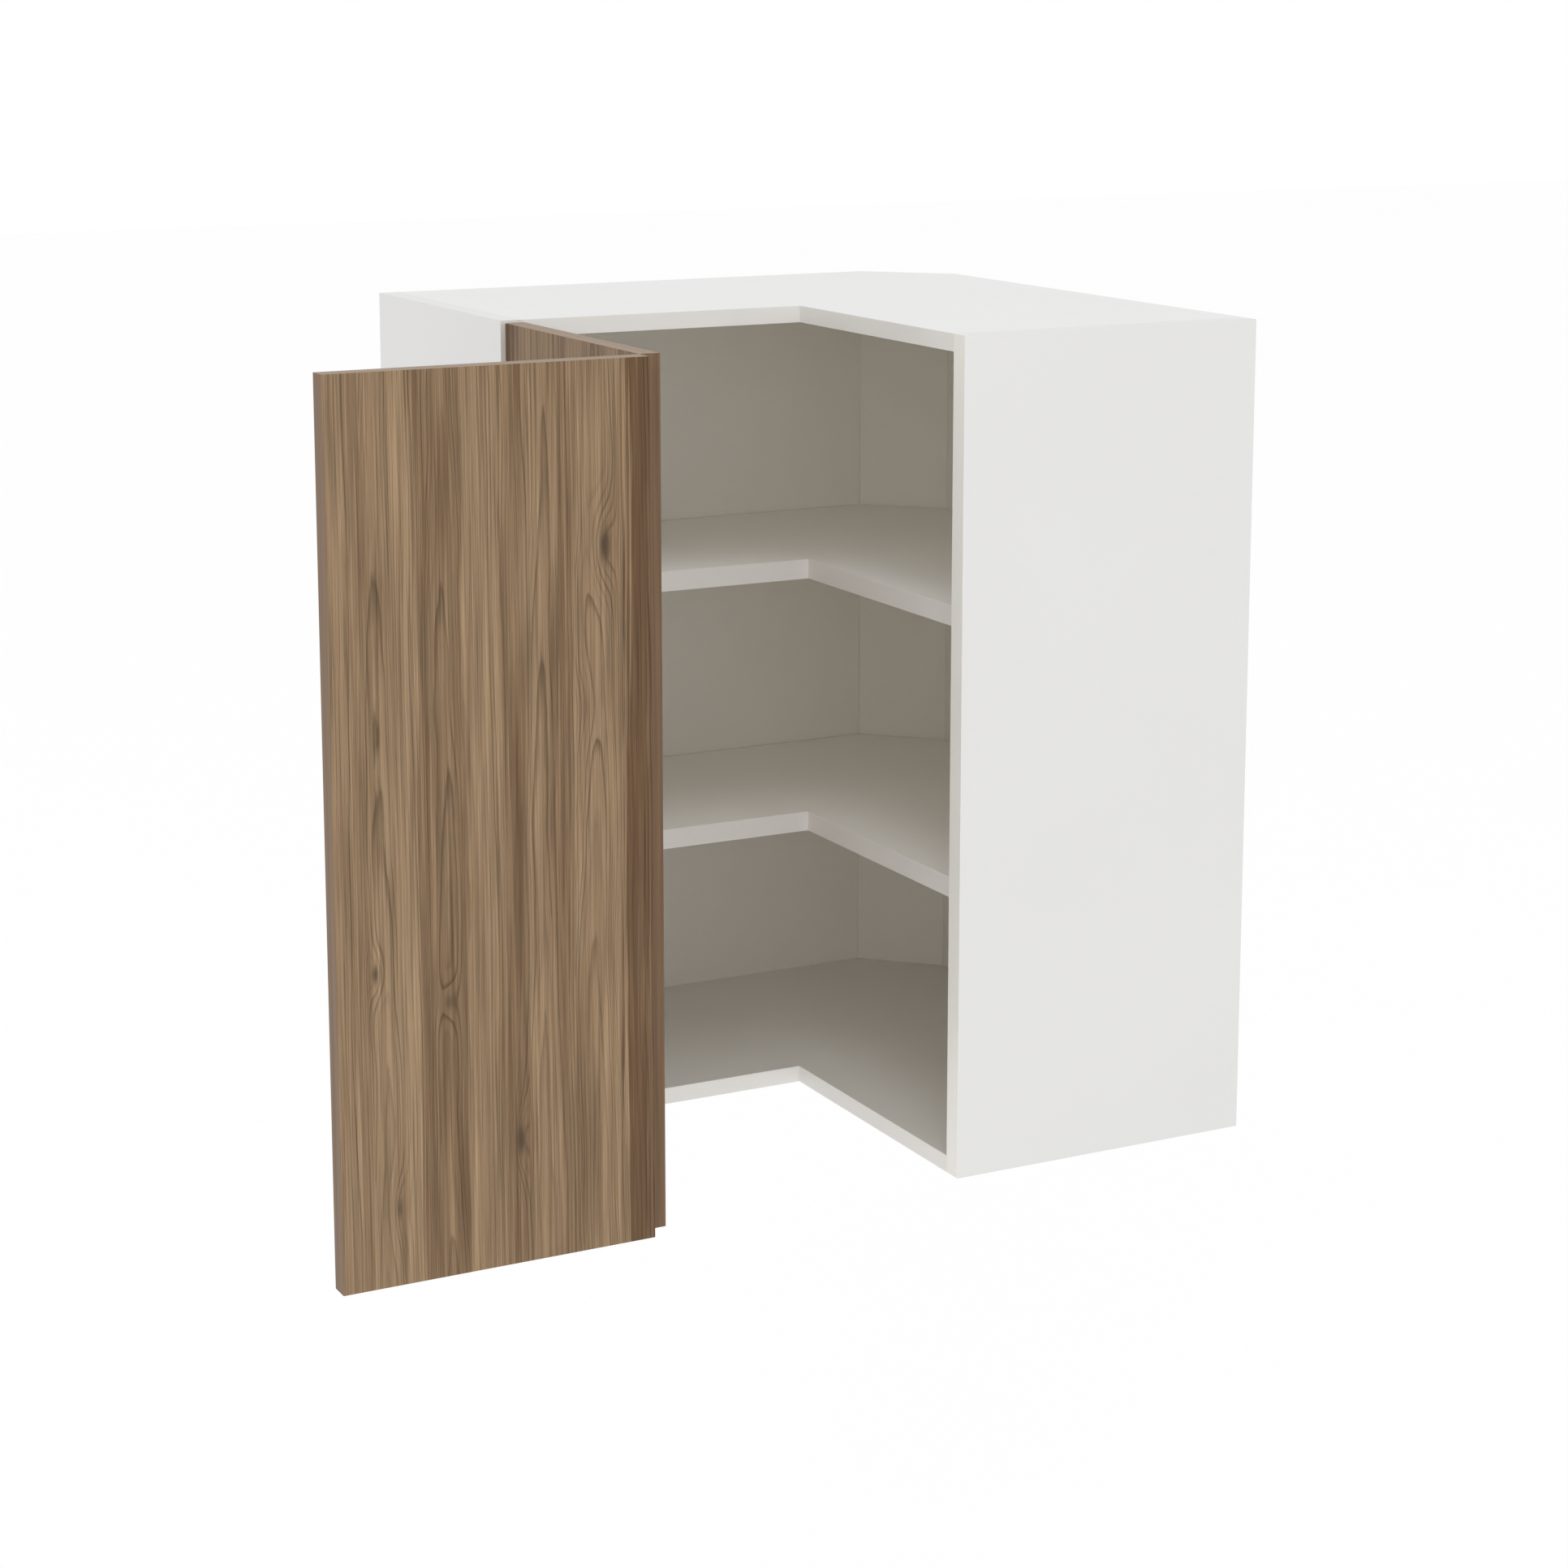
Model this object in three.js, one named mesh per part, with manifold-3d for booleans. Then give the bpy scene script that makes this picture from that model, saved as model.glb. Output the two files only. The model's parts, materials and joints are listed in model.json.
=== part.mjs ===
// Hanging corner wall cabinet: an L-shaped carcass with two shelves and a two-leaf corner door.
//
// Millimetres, +Z up. The carcass is drawn in a room-corner frame: the two walls are the planes
// x = 0 and y = 0, the cabinet reaches to +X and -Y, and z = 0 is its underside. The exported
// group then moves that frame so that the origin is on the underside, below the centre of the
// corner square that both legs share. The door stands a quarter turn open, and its two leaves
// keep the right angle that they have when it is closed.

import * as THREE from 'three';
import { mergeVertices } from 'three/addons/utils/BufferGeometryUtils.js';
import Module from 'manifold-3d';

// ---------------------------------------------------------------- driving sizes

const WIDTH = 609.6;              // each wall leg, from the room corner to its end panel's face
const HEIGHT = 762;
const LEG_DEPTH = 304.8;          // how far each leg stands out from its wall
const CHAMFER = 73;               // what is cut off each leg at the room corner

const END_PANEL = 19.05;          // thickness of the two end panels
const DECK = 15.875;              // thickness of the top and bottom panels
const BACK = 6.35;                // thickness of the three back panels
const BACK_INSET = 3.15;          // from the wall to the back panels' rear face
const BACK_TONGUE = 5;            // how deep the back panels sit in their grooves

const SHELF = 19.05;
const SHELF_COUNT = 2;
const SHELF_SETBACK = 20;         // from the front of a leg to the shelf's front edge
const SHELF_CLEARANCE = 1;        // around the shelf's other edges

const DOOR = 19.05;               // thickness of both leaves
const DOOR_TOP_REVEAL = 2.6;      // from the leaves' top edges up to the cabinet's top
const DOOR_DROP = 1.6;            // how far the leaves reach below the underside
const DOOR_GAP = 2;               // from the carcass front to the inner face of a closed leaf
const DOOR_SIDE_REVEAL = 0.4;     // from an end panel's outer face to a closed leaf's edge
const LEAF_CORNER_GAP = 0.15;     // what each leaf's edge is short of the corner line

const HINGE_COUNT = 3;
const HINGE_END_DISTANCE = 120;   // from a leaf's top or bottom edge to the hinge's middle
const CUP_RADIUS = 17.3;
const CUP_DEPTH = 11;
const CUP_WALL = 1;
const CUP_EDGE = 3;               // from the leaf's edge to the cup's bore
const CUP_BORE_GAP = 0.2;
const CUP_PIN_EDGE = 6.37;        // from the cup's outside in to the pin that lies across it
const CUP_FLANGE = 1.2;           // thickness of the flange on the leaf's inner face
const CUP_FLANGE_HEIGHT = 62;
const CUP_FLANGE_LENGTH = 15;
const CUP_FLANGE_SHIFT = 3;       // from the cup's middle to the flange's middle
const LINK_PIVOT_INSET = 4.95;    // the least from the end panel's inner face to the arm's pin
const LINK_PIVOT_DEPTH = 6;       // the arm's pin, behind the carcass front
const LINK_SPAN = [-14.03, 9.41]; // closed, from the arm's pin to the cup's: inboard, outboard
const LINK_ELBOW = [-2.5, 13];    // closed, from the arm's pin to the link's elbow
const LINK_TURN = -0.55;          // turn of the link for each unit that the leaf turns
const LINK_HALF_WIDTH = 1.7;
const LINK_HEIGHT = 8;
const LINK_EYE_RADIUS = 2.5;
const HINGE_PIN_RADIUS = 1.1;
const PRESS_CLEARANCE = 0.05;     // around a hinge pin where it is pressed in
const ARM_PIN_INSET = 0.2;        // from the arm's side faces in to its pin's ends
const PIN_CLEARANCE = 0.15;
const SIDE_CLEARANCE = 0.3;       // between a link and the ears beside it
const ARM_EAR = 1.6;              // thickness of the arm's side walls
const ARM_LENGTH = 52;            // from the arm's pin to its rear end
const ARM_WEB = 1.8;              // thickness of the arm's web
const ARM_RISE = 7.2;             // from the arm's pin to the web's top
const ARM_DROP = 1.85;            // from the arm's pin down to the edges that sit on the plate
const ARM_NOSE = 4;               // from the pin's eye back to where the web starts
const ARM_MOUTH_SETBACK = 1;      // from there back to the end of the web's plate
const PLATE_SETBACK = 37;         // from the carcass front to the plate's screw line
const PLATE_WING_HEIGHT = 50;
const PLATE_WING_WIDTH = 11;
const PLATE_RAIL_LENGTH = 40;
const PLATE_TONGUE_SETBACK = 6;   // from the rail's front end back to the tongue inside the arm
const PLATE_TONGUE_ROOT = 0.5;    // how deep the tongue is rooted in the rail

const FOLD_HINGE_COUNT = 3;
const FOLD_HINGE_HEIGHT = 50;
const FOLD_FLAP_WIDTH = 15;
const FOLD_FLAP = 1.2;            // thickness of a flap
const FOLD_FLAP_GAP = 0.2;        // between a flap and its leaf
const FOLD_KNUCKLE_RADIUS = 2.6;
const FOLD_PIN_RADIUS = 1.2;
const FOLD_KNUCKLE_GAP = 0.3;     // between neighbouring knuckles, and knuckle to leaf
const FOLD_PIN_HEAD = 1;          // how far the pin stands out at each end

const SHELF_PIN_RADIUS = 2.5;
const SHELF_PIN_COLLAR_RADIUS = 4;
const SHELF_PIN_COLLAR = 1.2;
const SHELF_PIN_SUNK = 5;         // how far a pin sits in its panel
const SHELF_PIN_REACH = 9;        // how far it stands out of its panel
const SHELF_PIN_END_INSET = 45;   // from a leg's front or back to the end panels' pins
const BACK_PIN_SUNK = 4;          // the corner pin's seat in the thin back panel

const HANGER_BODY = [46, 19, 62]; // along the wall depth, off the end panel, height
const HANGER_TOP_GAP = 12;        // from the top panel's underside to the hanger
const HANGER_WALL = 2.5;
const HOOK_DROP = 8;              // from the hanger's top down to the hook's top
const HOOK_WALL_GAP = 0.5;        // between the hook's end and the wall
const HOOK_BACK_GAP = 0.3;        // between the hook's lip and the back panel
const HOOK_SLOT_GAP = 1;          // around the hook where it passes through the back panel
const HOOK_WIDTH = 12;
const HOOK_THICKNESS = 4;
const HOOK_LIP = 9;

const CAM_RADIUS = 7.5;
const CAM_DEPTH = 11;
const CAM_SLOT = [10, 1.8, 2.5];  // length, width and depth of the driver's slot
const CAM_EDGE = 24;              // from the end panel to the cam's middle
const CAM_FRONT_INSET = 50;       // from the leg's front and back to the cams

const JOINT_GAP = 0.1;            // glue line between carcass panels
const OVERCUT = 1;                // how far a cutter runs past the face that it opens
const MERGE_DISTANCE = 1e-5;
const ROUND = 16;                 // facets of a small round
const ROUND_LARGE = 36;

// ---------------------------------------------------------------- hinge kinematics

// Plan places near the hinge are [inboard, outboard]: from the end panel's outer face towards
// the other leg, and from the carcass front into the room.
const toPlan = ([inboard, outboard]) => [LEG_DEPTH + outboard, -WIDTH + inboard];

// Turns [inboard, outboard] about a centre, from inboard towards outboard.
function turned([x, o], [cx, co], angle) {
  const c = Math.cos(angle);
  const s = Math.sin(angle);
  return [cx + c * (x - cx) - s * (o - co), co + s * (x - cx) + c * (o - co)];
}

// The arm's pin clears both the end panel and, through the link, the cup's place in the leaf.
const cupPinFromPanelFace = DOOR_SIDE_REVEAL + CUP_EDGE + CUP_BORE_GAP + CUP_PIN_EDGE;
const armPin = [
  Math.max(END_PANEL + LINK_PIVOT_INSET, cupPinFromPanelFace - LINK_SPAN[0]),
  -LINK_PIVOT_DEPTH,
];
const cupPinClosed = [armPin[0] + LINK_SPAN[0], armPin[1] + LINK_SPAN[1]];
const elbowClosed = [armPin[0] + LINK_ELBOW[0], armPin[1] + LINK_ELBOW[1]];

// Opening by a right angle turns the link back about the arm's pin and the leaf about the cup's.
const linkTurnOpen = (LINK_TURN * Math.PI) / 2;
const cupPinOpen = turned(cupPinClosed, armPin, linkTurnOpen);
const elbowOpen = turned(elbowClosed, armPin, linkTurnOpen);
const leafCornerOpen = [
  cupPinOpen[0] - (DOOR_GAP + DOOR - cupPinClosed[1]),
  cupPinOpen[1] + (DOOR_SIDE_REVEAL - cupPinClosed[0]),
];

// ---------------------------------------------------------------- worked-out places

const SHELF_ROOM = (HEIGHT - 2 * DECK - SHELF_COUNT * SHELF) / (SHELF_COUNT + 1);
const LEAF_LENGTH = LEG_DEPTH - DOOR_GAP - DOOR - DOOR_SIDE_REVEAL - LEAF_CORNER_GAP;
const LEAF_BOTTOM = -DOOR_DROP;
const LEAF_TOP = HEIGHT - DOOR_TOP_REVEAL;
const [LEAF_HINGE_X, LEAF_OUTER_Y] = toPlan(leafCornerOpen);
const LEAF_INNER_Y = LEAF_OUTER_Y + DOOR;
const CORNER_X = LEAF_HINGE_X + LEAF_LENGTH + LEAF_CORNER_GAP;
const END_INNER_Y = -WIDTH + END_PANEL;
const END_INNER_X = WIDTH - END_PANEL;
const BACK_INNER = BACK_INSET + BACK;
const MITRE = Math.SQRT2 - 1;     // shift of a chamfer corner for each unit of offset
const CUP_PIN_OFFSET = CUP_RADIUS - CUP_PIN_EDGE;
const CUP_MIDDLE_X = toPlan(cupPinOpen)[0] + CUP_PIN_OFFSET;

const spread = (first, last, count) =>
  Array.from({ length: count }, (_, i) => first + ((last - first) * i) / (count - 1));
const HINGE_LEVELS = spread(LEAF_BOTTOM + HINGE_END_DISTANCE, LEAF_TOP - HINGE_END_DISTANCE, HINGE_COUNT);
const FOLD_LEVELS = spread(LEAF_BOTTOM + HINGE_END_DISTANCE, LEAF_TOP - HINGE_END_DISTANCE, FOLD_HINGE_COUNT);
const SHELF_LEVELS = Array.from({ length: SHELF_COUNT }, (_, i) => DECK + (i + 1) * SHELF_ROOM + i * SHELF);

// ---------------------------------------------------------------- materials

const finish = (color, roughness, metalness) => () =>
  new THREE.MeshStandardMaterial({ color, roughness, metalness });
const carcassWhite = finish(0xe4e3e0, 0.45, 0);
const shelfWhite = finish(0xdad8d4, 0.45, 0);
const backWhite = finish(0xd6d3cc, 0.55, 0);
const walnut = finish(0x7b6147, 0.5, 0);
const nickel = finish(0xb9b8b4, 0.3, 1);
const zinc = finish(0x9d9c99, 0.4, 1);
const hangerPlastic = finish(0xd9d8d4, 0.5, 0);

// ---------------------------------------------------------------- solids

const wasm = await Module();
wasm.setup();

function solidFrom(geometry) {
  const bare = geometry.clone();
  bare.deleteAttribute('normal');
  bare.deleteAttribute('uv');
  const merged = mergeVertices(bare, MERGE_DISTANCE);
  return new wasm.Manifold(new wasm.Mesh({
    numProp: 3,
    vertProperties: new Float32Array(merged.attributes.position.array),
    triVerts: new Uint32Array(merged.index.array),
  }));
}

function geometryFrom(solid) {
  const mesh = solid.getMesh();
  const geometry = new THREE.BufferGeometry();
  geometry.setAttribute('position', new THREE.BufferAttribute(new Float32Array(mesh.vertProperties), 3));
  geometry.setIndex(new THREE.BufferAttribute(new Uint32Array(mesh.triVerts), 1));
  geometry.computeVertexNormals();
  return geometry;
}

// A box between two corners.
function box([x0, y0, z0], [x1, y1, z1]) {
  const geometry = new THREE.BoxGeometry(x1 - x0, y1 - y0, z1 - z0);
  geometry.translate((x0 + x1) / 2, (y0 + y1) / 2, (z0 + z1) / 2);
  return solidFrom(geometry);
}

// A plan outline, given anticlockwise as [x, y] points, drawn up from z0 to z1.
function prism(outline, z0, z1) {
  const shape = new THREE.Shape(outline.map(([x, y]) => new THREE.Vector2(x, y)));
  const geometry = new THREE.ExtrudeGeometry(shape, { depth: z1 - z0, bevelEnabled: false });
  geometry.translate(0, 0, z0);
  return solidFrom(geometry);
}

// A cylinder whose axis runs from one point to another.
function rod(from, to, radius, facets = ROUND) {
  const start = new THREE.Vector3(...from);
  const along = new THREE.Vector3(...to).sub(start);
  const geometry = new THREE.CylinderGeometry(radius, radius, along.length(), facets);
  geometry.translate(0, along.length() / 2, 0);
  const turn = new THREE.Quaternion().setFromUnitVectors(
    new THREE.Vector3(0, 1, 0),
    along.clone().normalize(),
  );
  geometry.applyQuaternion(turn);
  geometry.translate(...from);
  return solidFrom(geometry);
}

const post = ([x, y], radius, z0, z1, facets = ROUND) => rod([x, y, z0], [x, y, z1], radius, facets);

// A flat bar of constant half width between two plan points.
function bar([ax, ay], [bx, by], halfWidth, z0, z1) {
  const length = Math.hypot(bx - ax, by - ay);
  const nx = (-(by - ay) / length) * halfWidth;
  const ny = ((bx - ax) / length) * halfWidth;
  const outline = [[ax - nx, ay - ny], [bx - nx, by - ny], [bx + nx, by + ny], [ax + nx, ay + ny]];
  return prism(outline, z0, z1);
}

const cabinet = new THREE.Group();

function add(name, solid, material) {
  const mesh = new THREE.Mesh(geometryFrom(solid), material());
  mesh.name = name;
  cabinet.add(mesh);
}

// ---------------------------------------------------------------- plan outlines

// An L with its outer chamfer. offset pulls the rear edges in from the walls, front pulls the
// open edges back from the legs' fronts, and end pulls the ends in from the end faces.
function cornerOutline(offset, front, end) {
  const far = WIDTH - end;
  const open = LEG_DEPTH - front;
  const cut = CHAMFER + offset * MITRE;
  return [
    [offset, -far], [open, -far], [open, -open], [far, -open], [far, -offset], [cut, -offset], [offset, -cut],
  ];
}

// The three back panels' outlines, widened all round by grow. end is how far from the end
// panel's outer face the straight ones stop.
function backOutlines(grow, end) {
  const rear = BACK_INSET - grow;
  const inner = BACK_INNER + grow;
  const trim = JOINT_GAP - grow;
  const rearCut = CHAMFER + rear * MITRE;
  const innerCut = CHAMFER + inner * MITRE;
  const slide = trim * Math.SQRT1_2;
  const alongWallX = [
    [rear, -(WIDTH - end)], [inner, -(WIDTH - end)], [inner, -innerCut - trim], [rear, -rearCut - trim],
  ];
  const acrossCorner = [
    [rear + slide, -rearCut + slide], [inner + slide, -innerCut + slide],
    [innerCut - slide, -inner - slide], [rearCut - slide, -rear - slide],
  ];
  const alongWallY = [
    [rearCut + trim, -rear], [innerCut + trim, -inner], [WIDTH - end, -inner], [WIDTH - end, -rear],
  ];
  return { alongWallX, acrossCorner, alongWallY };
}

// ---------------------------------------------------------------- carcass

function makeCarcass() {
  const endSolids = {
    hinge_side_panel: box([0, -WIDTH, 0], [LEG_DEPTH, END_INNER_Y, HEIGHT]),
    far_side_panel: box([END_INNER_X, -LEG_DEPTH, 0], [WIDTH, 0, HEIGHT]),
  };
  const deck = cornerOutline(0, 0, END_PANEL + JOINT_GAP);
  const deckSolids = {
    bottom_panel: prism(deck, 0, DECK),
    top_panel: prism(deck, HEIGHT - DECK, HEIGHT),
  };
  const grooveFoot = DECK - BACK_TONGUE;
  const end = END_PANEL - BACK_TONGUE;
  const backs = backOutlines(0, end);
  const grooves = Object.values(backOutlines(JOINT_GAP, end - JOINT_GAP))
    .map((outline) => prism(outline, grooveFoot - JOINT_GAP, HEIGHT - grooveFoot + JOINT_GAP));
  for (const [name, solid] of Object.entries({ ...endSolids, ...deckSolids })) {
    const cutters = [...grooves, ...shelfPinBores(), ...camBores()];
    add(name, cutters.reduce((piece, cutter) => piece.subtract(cutter), solid), carcassWhite);
  }
  const names = {
    alongWallX: 'left_back_panel',
    acrossCorner: 'corner_back_panel',
    alongWallY: 'right_back_panel',
  };
  for (const [key, name] of Object.entries(names)) {
    const cutters = [...shelfPinBores(), ...hookSlots()];
    const panel = prism(backs[key], grooveFoot, HEIGHT - grooveFoot);
    add(name, cutters.reduce((piece, cutter) => piece.subtract(cutter), panel), backWhite);
  }
}

// ---------------------------------------------------------------- shelves and their pins

function makeShelves() {
  const outline = cornerOutline(
    BACK_INNER + SHELF_CLEARANCE,
    SHELF_SETBACK,
    END_PANEL + SHELF_CLEARANCE,
  );
  SHELF_LEVELS.forEach((level, i) => {
    add(`shelf_${i + 1}`, prism(outline, level, level + SHELF), shelfWhite);
    shelfPinPlaces(level).forEach((pin, n) => add(`shelf_pin_${i + 1}_${n + 1}`, shelfPin(pin), nickel));
  });
}

// Each pin's wall point, its outward direction, and how deep it sits.
function shelfPinPlaces(level) {
  const z = level - SHELF_PIN_RADIUS - JOINT_GAP;
  const rear = BACK_INNER + SHELF_PIN_END_INSET;
  const front = LEG_DEPTH - SHELF_SETBACK - SHELF_PIN_END_INSET;
  const middle = (CHAMFER + BACK_INNER * Math.SQRT2) / 2;
  const slant = Math.SQRT1_2;
  return [
    { at: [rear, END_INNER_Y, z], out: [0, 1, 0], sunk: SHELF_PIN_SUNK },
    { at: [front, END_INNER_Y, z], out: [0, 1, 0], sunk: SHELF_PIN_SUNK },
    { at: [END_INNER_X, -rear, z], out: [-1, 0, 0], sunk: SHELF_PIN_SUNK },
    { at: [END_INNER_X, -front, z], out: [-1, 0, 0], sunk: SHELF_PIN_SUNK },
    { at: [middle, -middle, z], out: [slant, -slant, 0], sunk: BACK_PIN_SUNK },
  ];
}

const along = (at, out, distance) => at.map((value, i) => value + out[i] * distance);

function shelfPin({ at, out, sunk }) {
  const body = rod(along(at, out, -sunk), along(at, out, SHELF_PIN_REACH), SHELF_PIN_RADIUS);
  const collarStart = along(at, out, JOINT_GAP);
  const collarEnd = along(at, out, JOINT_GAP + SHELF_PIN_COLLAR - SHELF_CLEARANCE / 2);
  const length = SHELF_PIN_SUNK + SHELF_PIN_REACH;
  const underShelf = box(
    [at[0] - length, at[1] - length, at[2] + SHELF_PIN_RADIUS],
    [at[0] + length, at[1] + length, at[2] + SHELF_PIN_COLLAR_RADIUS + OVERCUT],
  );
  return body.add(rod(collarStart, collarEnd, SHELF_PIN_COLLAR_RADIUS)).subtract(underShelf);
}

function shelfPinBores() {
  return SHELF_LEVELS.flatMap(shelfPinPlaces).map(({ at, out, sunk }) =>
    rod(along(at, out, -sunk - JOINT_GAP), along(at, out, OVERCUT), SHELF_PIN_RADIUS + JOINT_GAP));
}

// ---------------------------------------------------------------- cam locks

// Cams in the undersides of the top and bottom panels pull them against the end panels.
function camPlaces() {
  const near = BACK_INNER + CAM_FRONT_INSET;
  const front = LEG_DEPTH - CAM_FRONT_INSET;
  const plan = [
    [near, END_INNER_Y + CAM_EDGE], [front, END_INNER_Y + CAM_EDGE],
    [END_INNER_X - CAM_EDGE, -near], [END_INNER_X - CAM_EDGE, -front],
  ];
  return [0, HEIGHT - DECK].flatMap((z) => plan.map((xy) => ({ xy, z })));
}

function makeCams() {
  camPlaces().forEach(({ xy, z }, i) => {
    const [length, width, depth] = CAM_SLOT;
    const slot = box(
      [xy[0] - length / 2, xy[1] - width / 2, z - OVERCUT],
      [xy[0] + length / 2, xy[1] + width / 2, z + depth],
    );
    const cam = post(xy, CAM_RADIUS, z + JOINT_GAP, z + CAM_DEPTH, ROUND);
    add(`cam_lock_${i + 1}`, cam.subtract(slot), zinc);
  });
}

const camBores = () => camPlaces().map(({ xy, z }) =>
  post(xy, CAM_RADIUS + JOINT_GAP, z - OVERCUT, z + CAM_DEPTH + JOINT_GAP, ROUND));

// ---------------------------------------------------------------- hangers

// One hanger at the top rear of each end panel: a housing, and a hook that reaches through the
// back panel to the wall. side maps [depth from the wall, off the end panel] to the plan.
const hangerSides = [
  { name: 'left', side: ([depth, off]) => [depth, END_INNER_Y + off] },
  { name: 'right', side: ([depth, off]) => [END_INNER_X - off, -depth] },
];

function hangerBox(side, [d0, o0, z0], [d1, o1, z1]) {
  const [ax, ay] = side([d0, o0]);
  const [bx, by] = side([d1, o1]);
  return box(
    [Math.min(ax, bx), Math.min(ay, by), z0],
    [Math.max(ax, bx), Math.max(ay, by), z1],
  );
}

const HANGER_TOP = HEIGHT - DECK - HANGER_TOP_GAP;
const HOOK_TOP = HANGER_TOP - HOOK_DROP;
const HOOK_OFF = (HANGER_BODY[1] - HOOK_THICKNESS * 2) / 2;

function makeHangers() {
  const [length, depth, height] = HANGER_BODY;
  for (const { name, side } of hangerSides) {
    const start = BACK_INNER + JOINT_GAP;
    const shell = hangerBox(
      side,
      [start, JOINT_GAP, HANGER_TOP - height],
      [start + length, depth, HANGER_TOP],
    );
    const room = hangerBox(
      side,
      [start - OVERCUT, HANGER_WALL, HANGER_TOP - height + HANGER_WALL],
      [start + length - HANGER_WALL, depth - HANGER_WALL, HANGER_TOP - HANGER_WALL],
    );
    add(`hanger_housing_${name}`, shell.subtract(room), hangerPlastic);
    const shank = hangerBox(
      side,
      [HOOK_WALL_GAP, HOOK_OFF, HOOK_TOP - HOOK_WIDTH],
      [start + length - 2 * HANGER_WALL, HOOK_OFF + HOOK_THICKNESS, HOOK_TOP],
    );
    const lip = hangerBox(
      side,
      [HOOK_WALL_GAP, HOOK_OFF, HOOK_TOP - HOOK_WIDTH - HOOK_LIP],
      [BACK_INSET - HOOK_BACK_GAP, HOOK_OFF + HOOK_THICKNESS, HOOK_TOP],
    );
    add(`hanger_hook_${name}`, shank.add(lip), zinc);
  }
}

const hookSlots = () => hangerSides.map(({ side }) => hangerBox(
  side,
  [-OVERCUT, HOOK_OFF - HOOK_SLOT_GAP, HOOK_TOP - HOOK_WIDTH - HOOK_SLOT_GAP],
  [BACK_INNER + OVERCUT, HOOK_OFF + HOOK_THICKNESS + HOOK_SLOT_GAP, HOOK_TOP + HOOK_SLOT_GAP],
));

// ---------------------------------------------------------------- door leaves

function makeDoor() {
  const hinged = box(
    [LEAF_HINGE_X, LEAF_OUTER_Y, LEAF_BOTTOM],
    [CORNER_X - LEAF_CORNER_GAP, LEAF_INNER_Y, LEAF_TOP],
  );
  const cups = HINGE_LEVELS.map((z) => rod(
    [CUP_MIDDLE_X, LEAF_INNER_Y - CUP_DEPTH - CUP_BORE_GAP, z],
    [CUP_MIDDLE_X, LEAF_INNER_Y + OVERCUT, z],
    CUP_RADIUS + CUP_BORE_GAP,
    ROUND_LARGE,
  ));
  add('door_leaf_hinged', cups.reduce((leaf, cup) => leaf.subtract(cup), hinged), walnut);
  const start = LEAF_OUTER_Y - LEAF_CORNER_GAP;
  const free = box([CORNER_X, start - LEAF_LENGTH, LEAF_BOTTOM], [CORNER_X + DOOR, start, LEAF_TOP]);
  add('door_leaf_free', free, walnut);
}

// ---------------------------------------------------------------- carcass hinges

function hingeCup(z) {
  const inner = LEAF_INNER_Y;
  const rim = inner + CUP_FLANGE;
  const flangeMiddle = CUP_MIDDLE_X + CUP_FLANGE_SHIFT;
  const shell = rod([CUP_MIDDLE_X, inner - CUP_DEPTH, z], [CUP_MIDDLE_X, rim, z], CUP_RADIUS, ROUND_LARGE);
  const flange = box(
    [flangeMiddle - CUP_FLANGE_LENGTH / 2, inner + JOINT_GAP, z - CUP_FLANGE_HEIGHT / 2],
    [flangeMiddle + CUP_FLANGE_LENGTH / 2, rim, z + CUP_FLANGE_HEIGHT / 2],
  );
  const hollow = rod(
    [CUP_MIDDLE_X, inner - CUP_DEPTH + CUP_WALL, z],
    [CUP_MIDDLE_X, rim + OVERCUT, z],
    CUP_RADIUS - CUP_WALL,
    ROUND_LARGE,
  );
  const boreReach = cupPinReach + JOINT_GAP;
  const boreRadius = HINGE_PIN_RADIUS + PRESS_CLEARANCE;
  const pinBore = post(toPlan(cupPinOpen), boreRadius, z - boreReach, z + boreReach);
  return shell.add(flange).subtract(hollow).subtract(pinBore);
}

// Half the length of the pin that lies across the cup, ending inside the cup's wall.
const cupPinReach = Math.sqrt((CUP_RADIUS - CUP_WALL / 2) ** 2 - (CUP_PIN_OFFSET + HINGE_PIN_RADIUS) ** 2);

function hingeLink(z) {
  const [z0, z1] = [z - LINK_HEIGHT / 2, z + LINK_HEIGHT / 2];
  const [carcassEnd, elbow, leafEnd] = [armPin, elbowOpen, cupPinOpen].map(toPlan);
  const pieces = [
    bar(carcassEnd, elbow, LINK_HALF_WIDTH, z0, z1),
    bar(elbow, leafEnd, LINK_HALF_WIDTH, z0, z1),
    post(elbow, LINK_HALF_WIDTH, z0, z1),
    post(carcassEnd, LINK_EYE_RADIUS, z0, z1),
    post(leafEnd, LINK_EYE_RADIUS, z0, z1),
  ];
  const bore = (at) => post(at, HINGE_PIN_RADIUS + PIN_CLEARANCE, z0 - OVERCUT, z1 + OVERCUT);
  return pieces.reduce((link, piece) => link.add(piece)).subtract(bore(carcassEnd)).subtract(bore(leafEnd));
}

const armHalfHeight = LINK_HEIGHT / 2 + SIDE_CLEARANCE + ARM_EAR;

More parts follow.
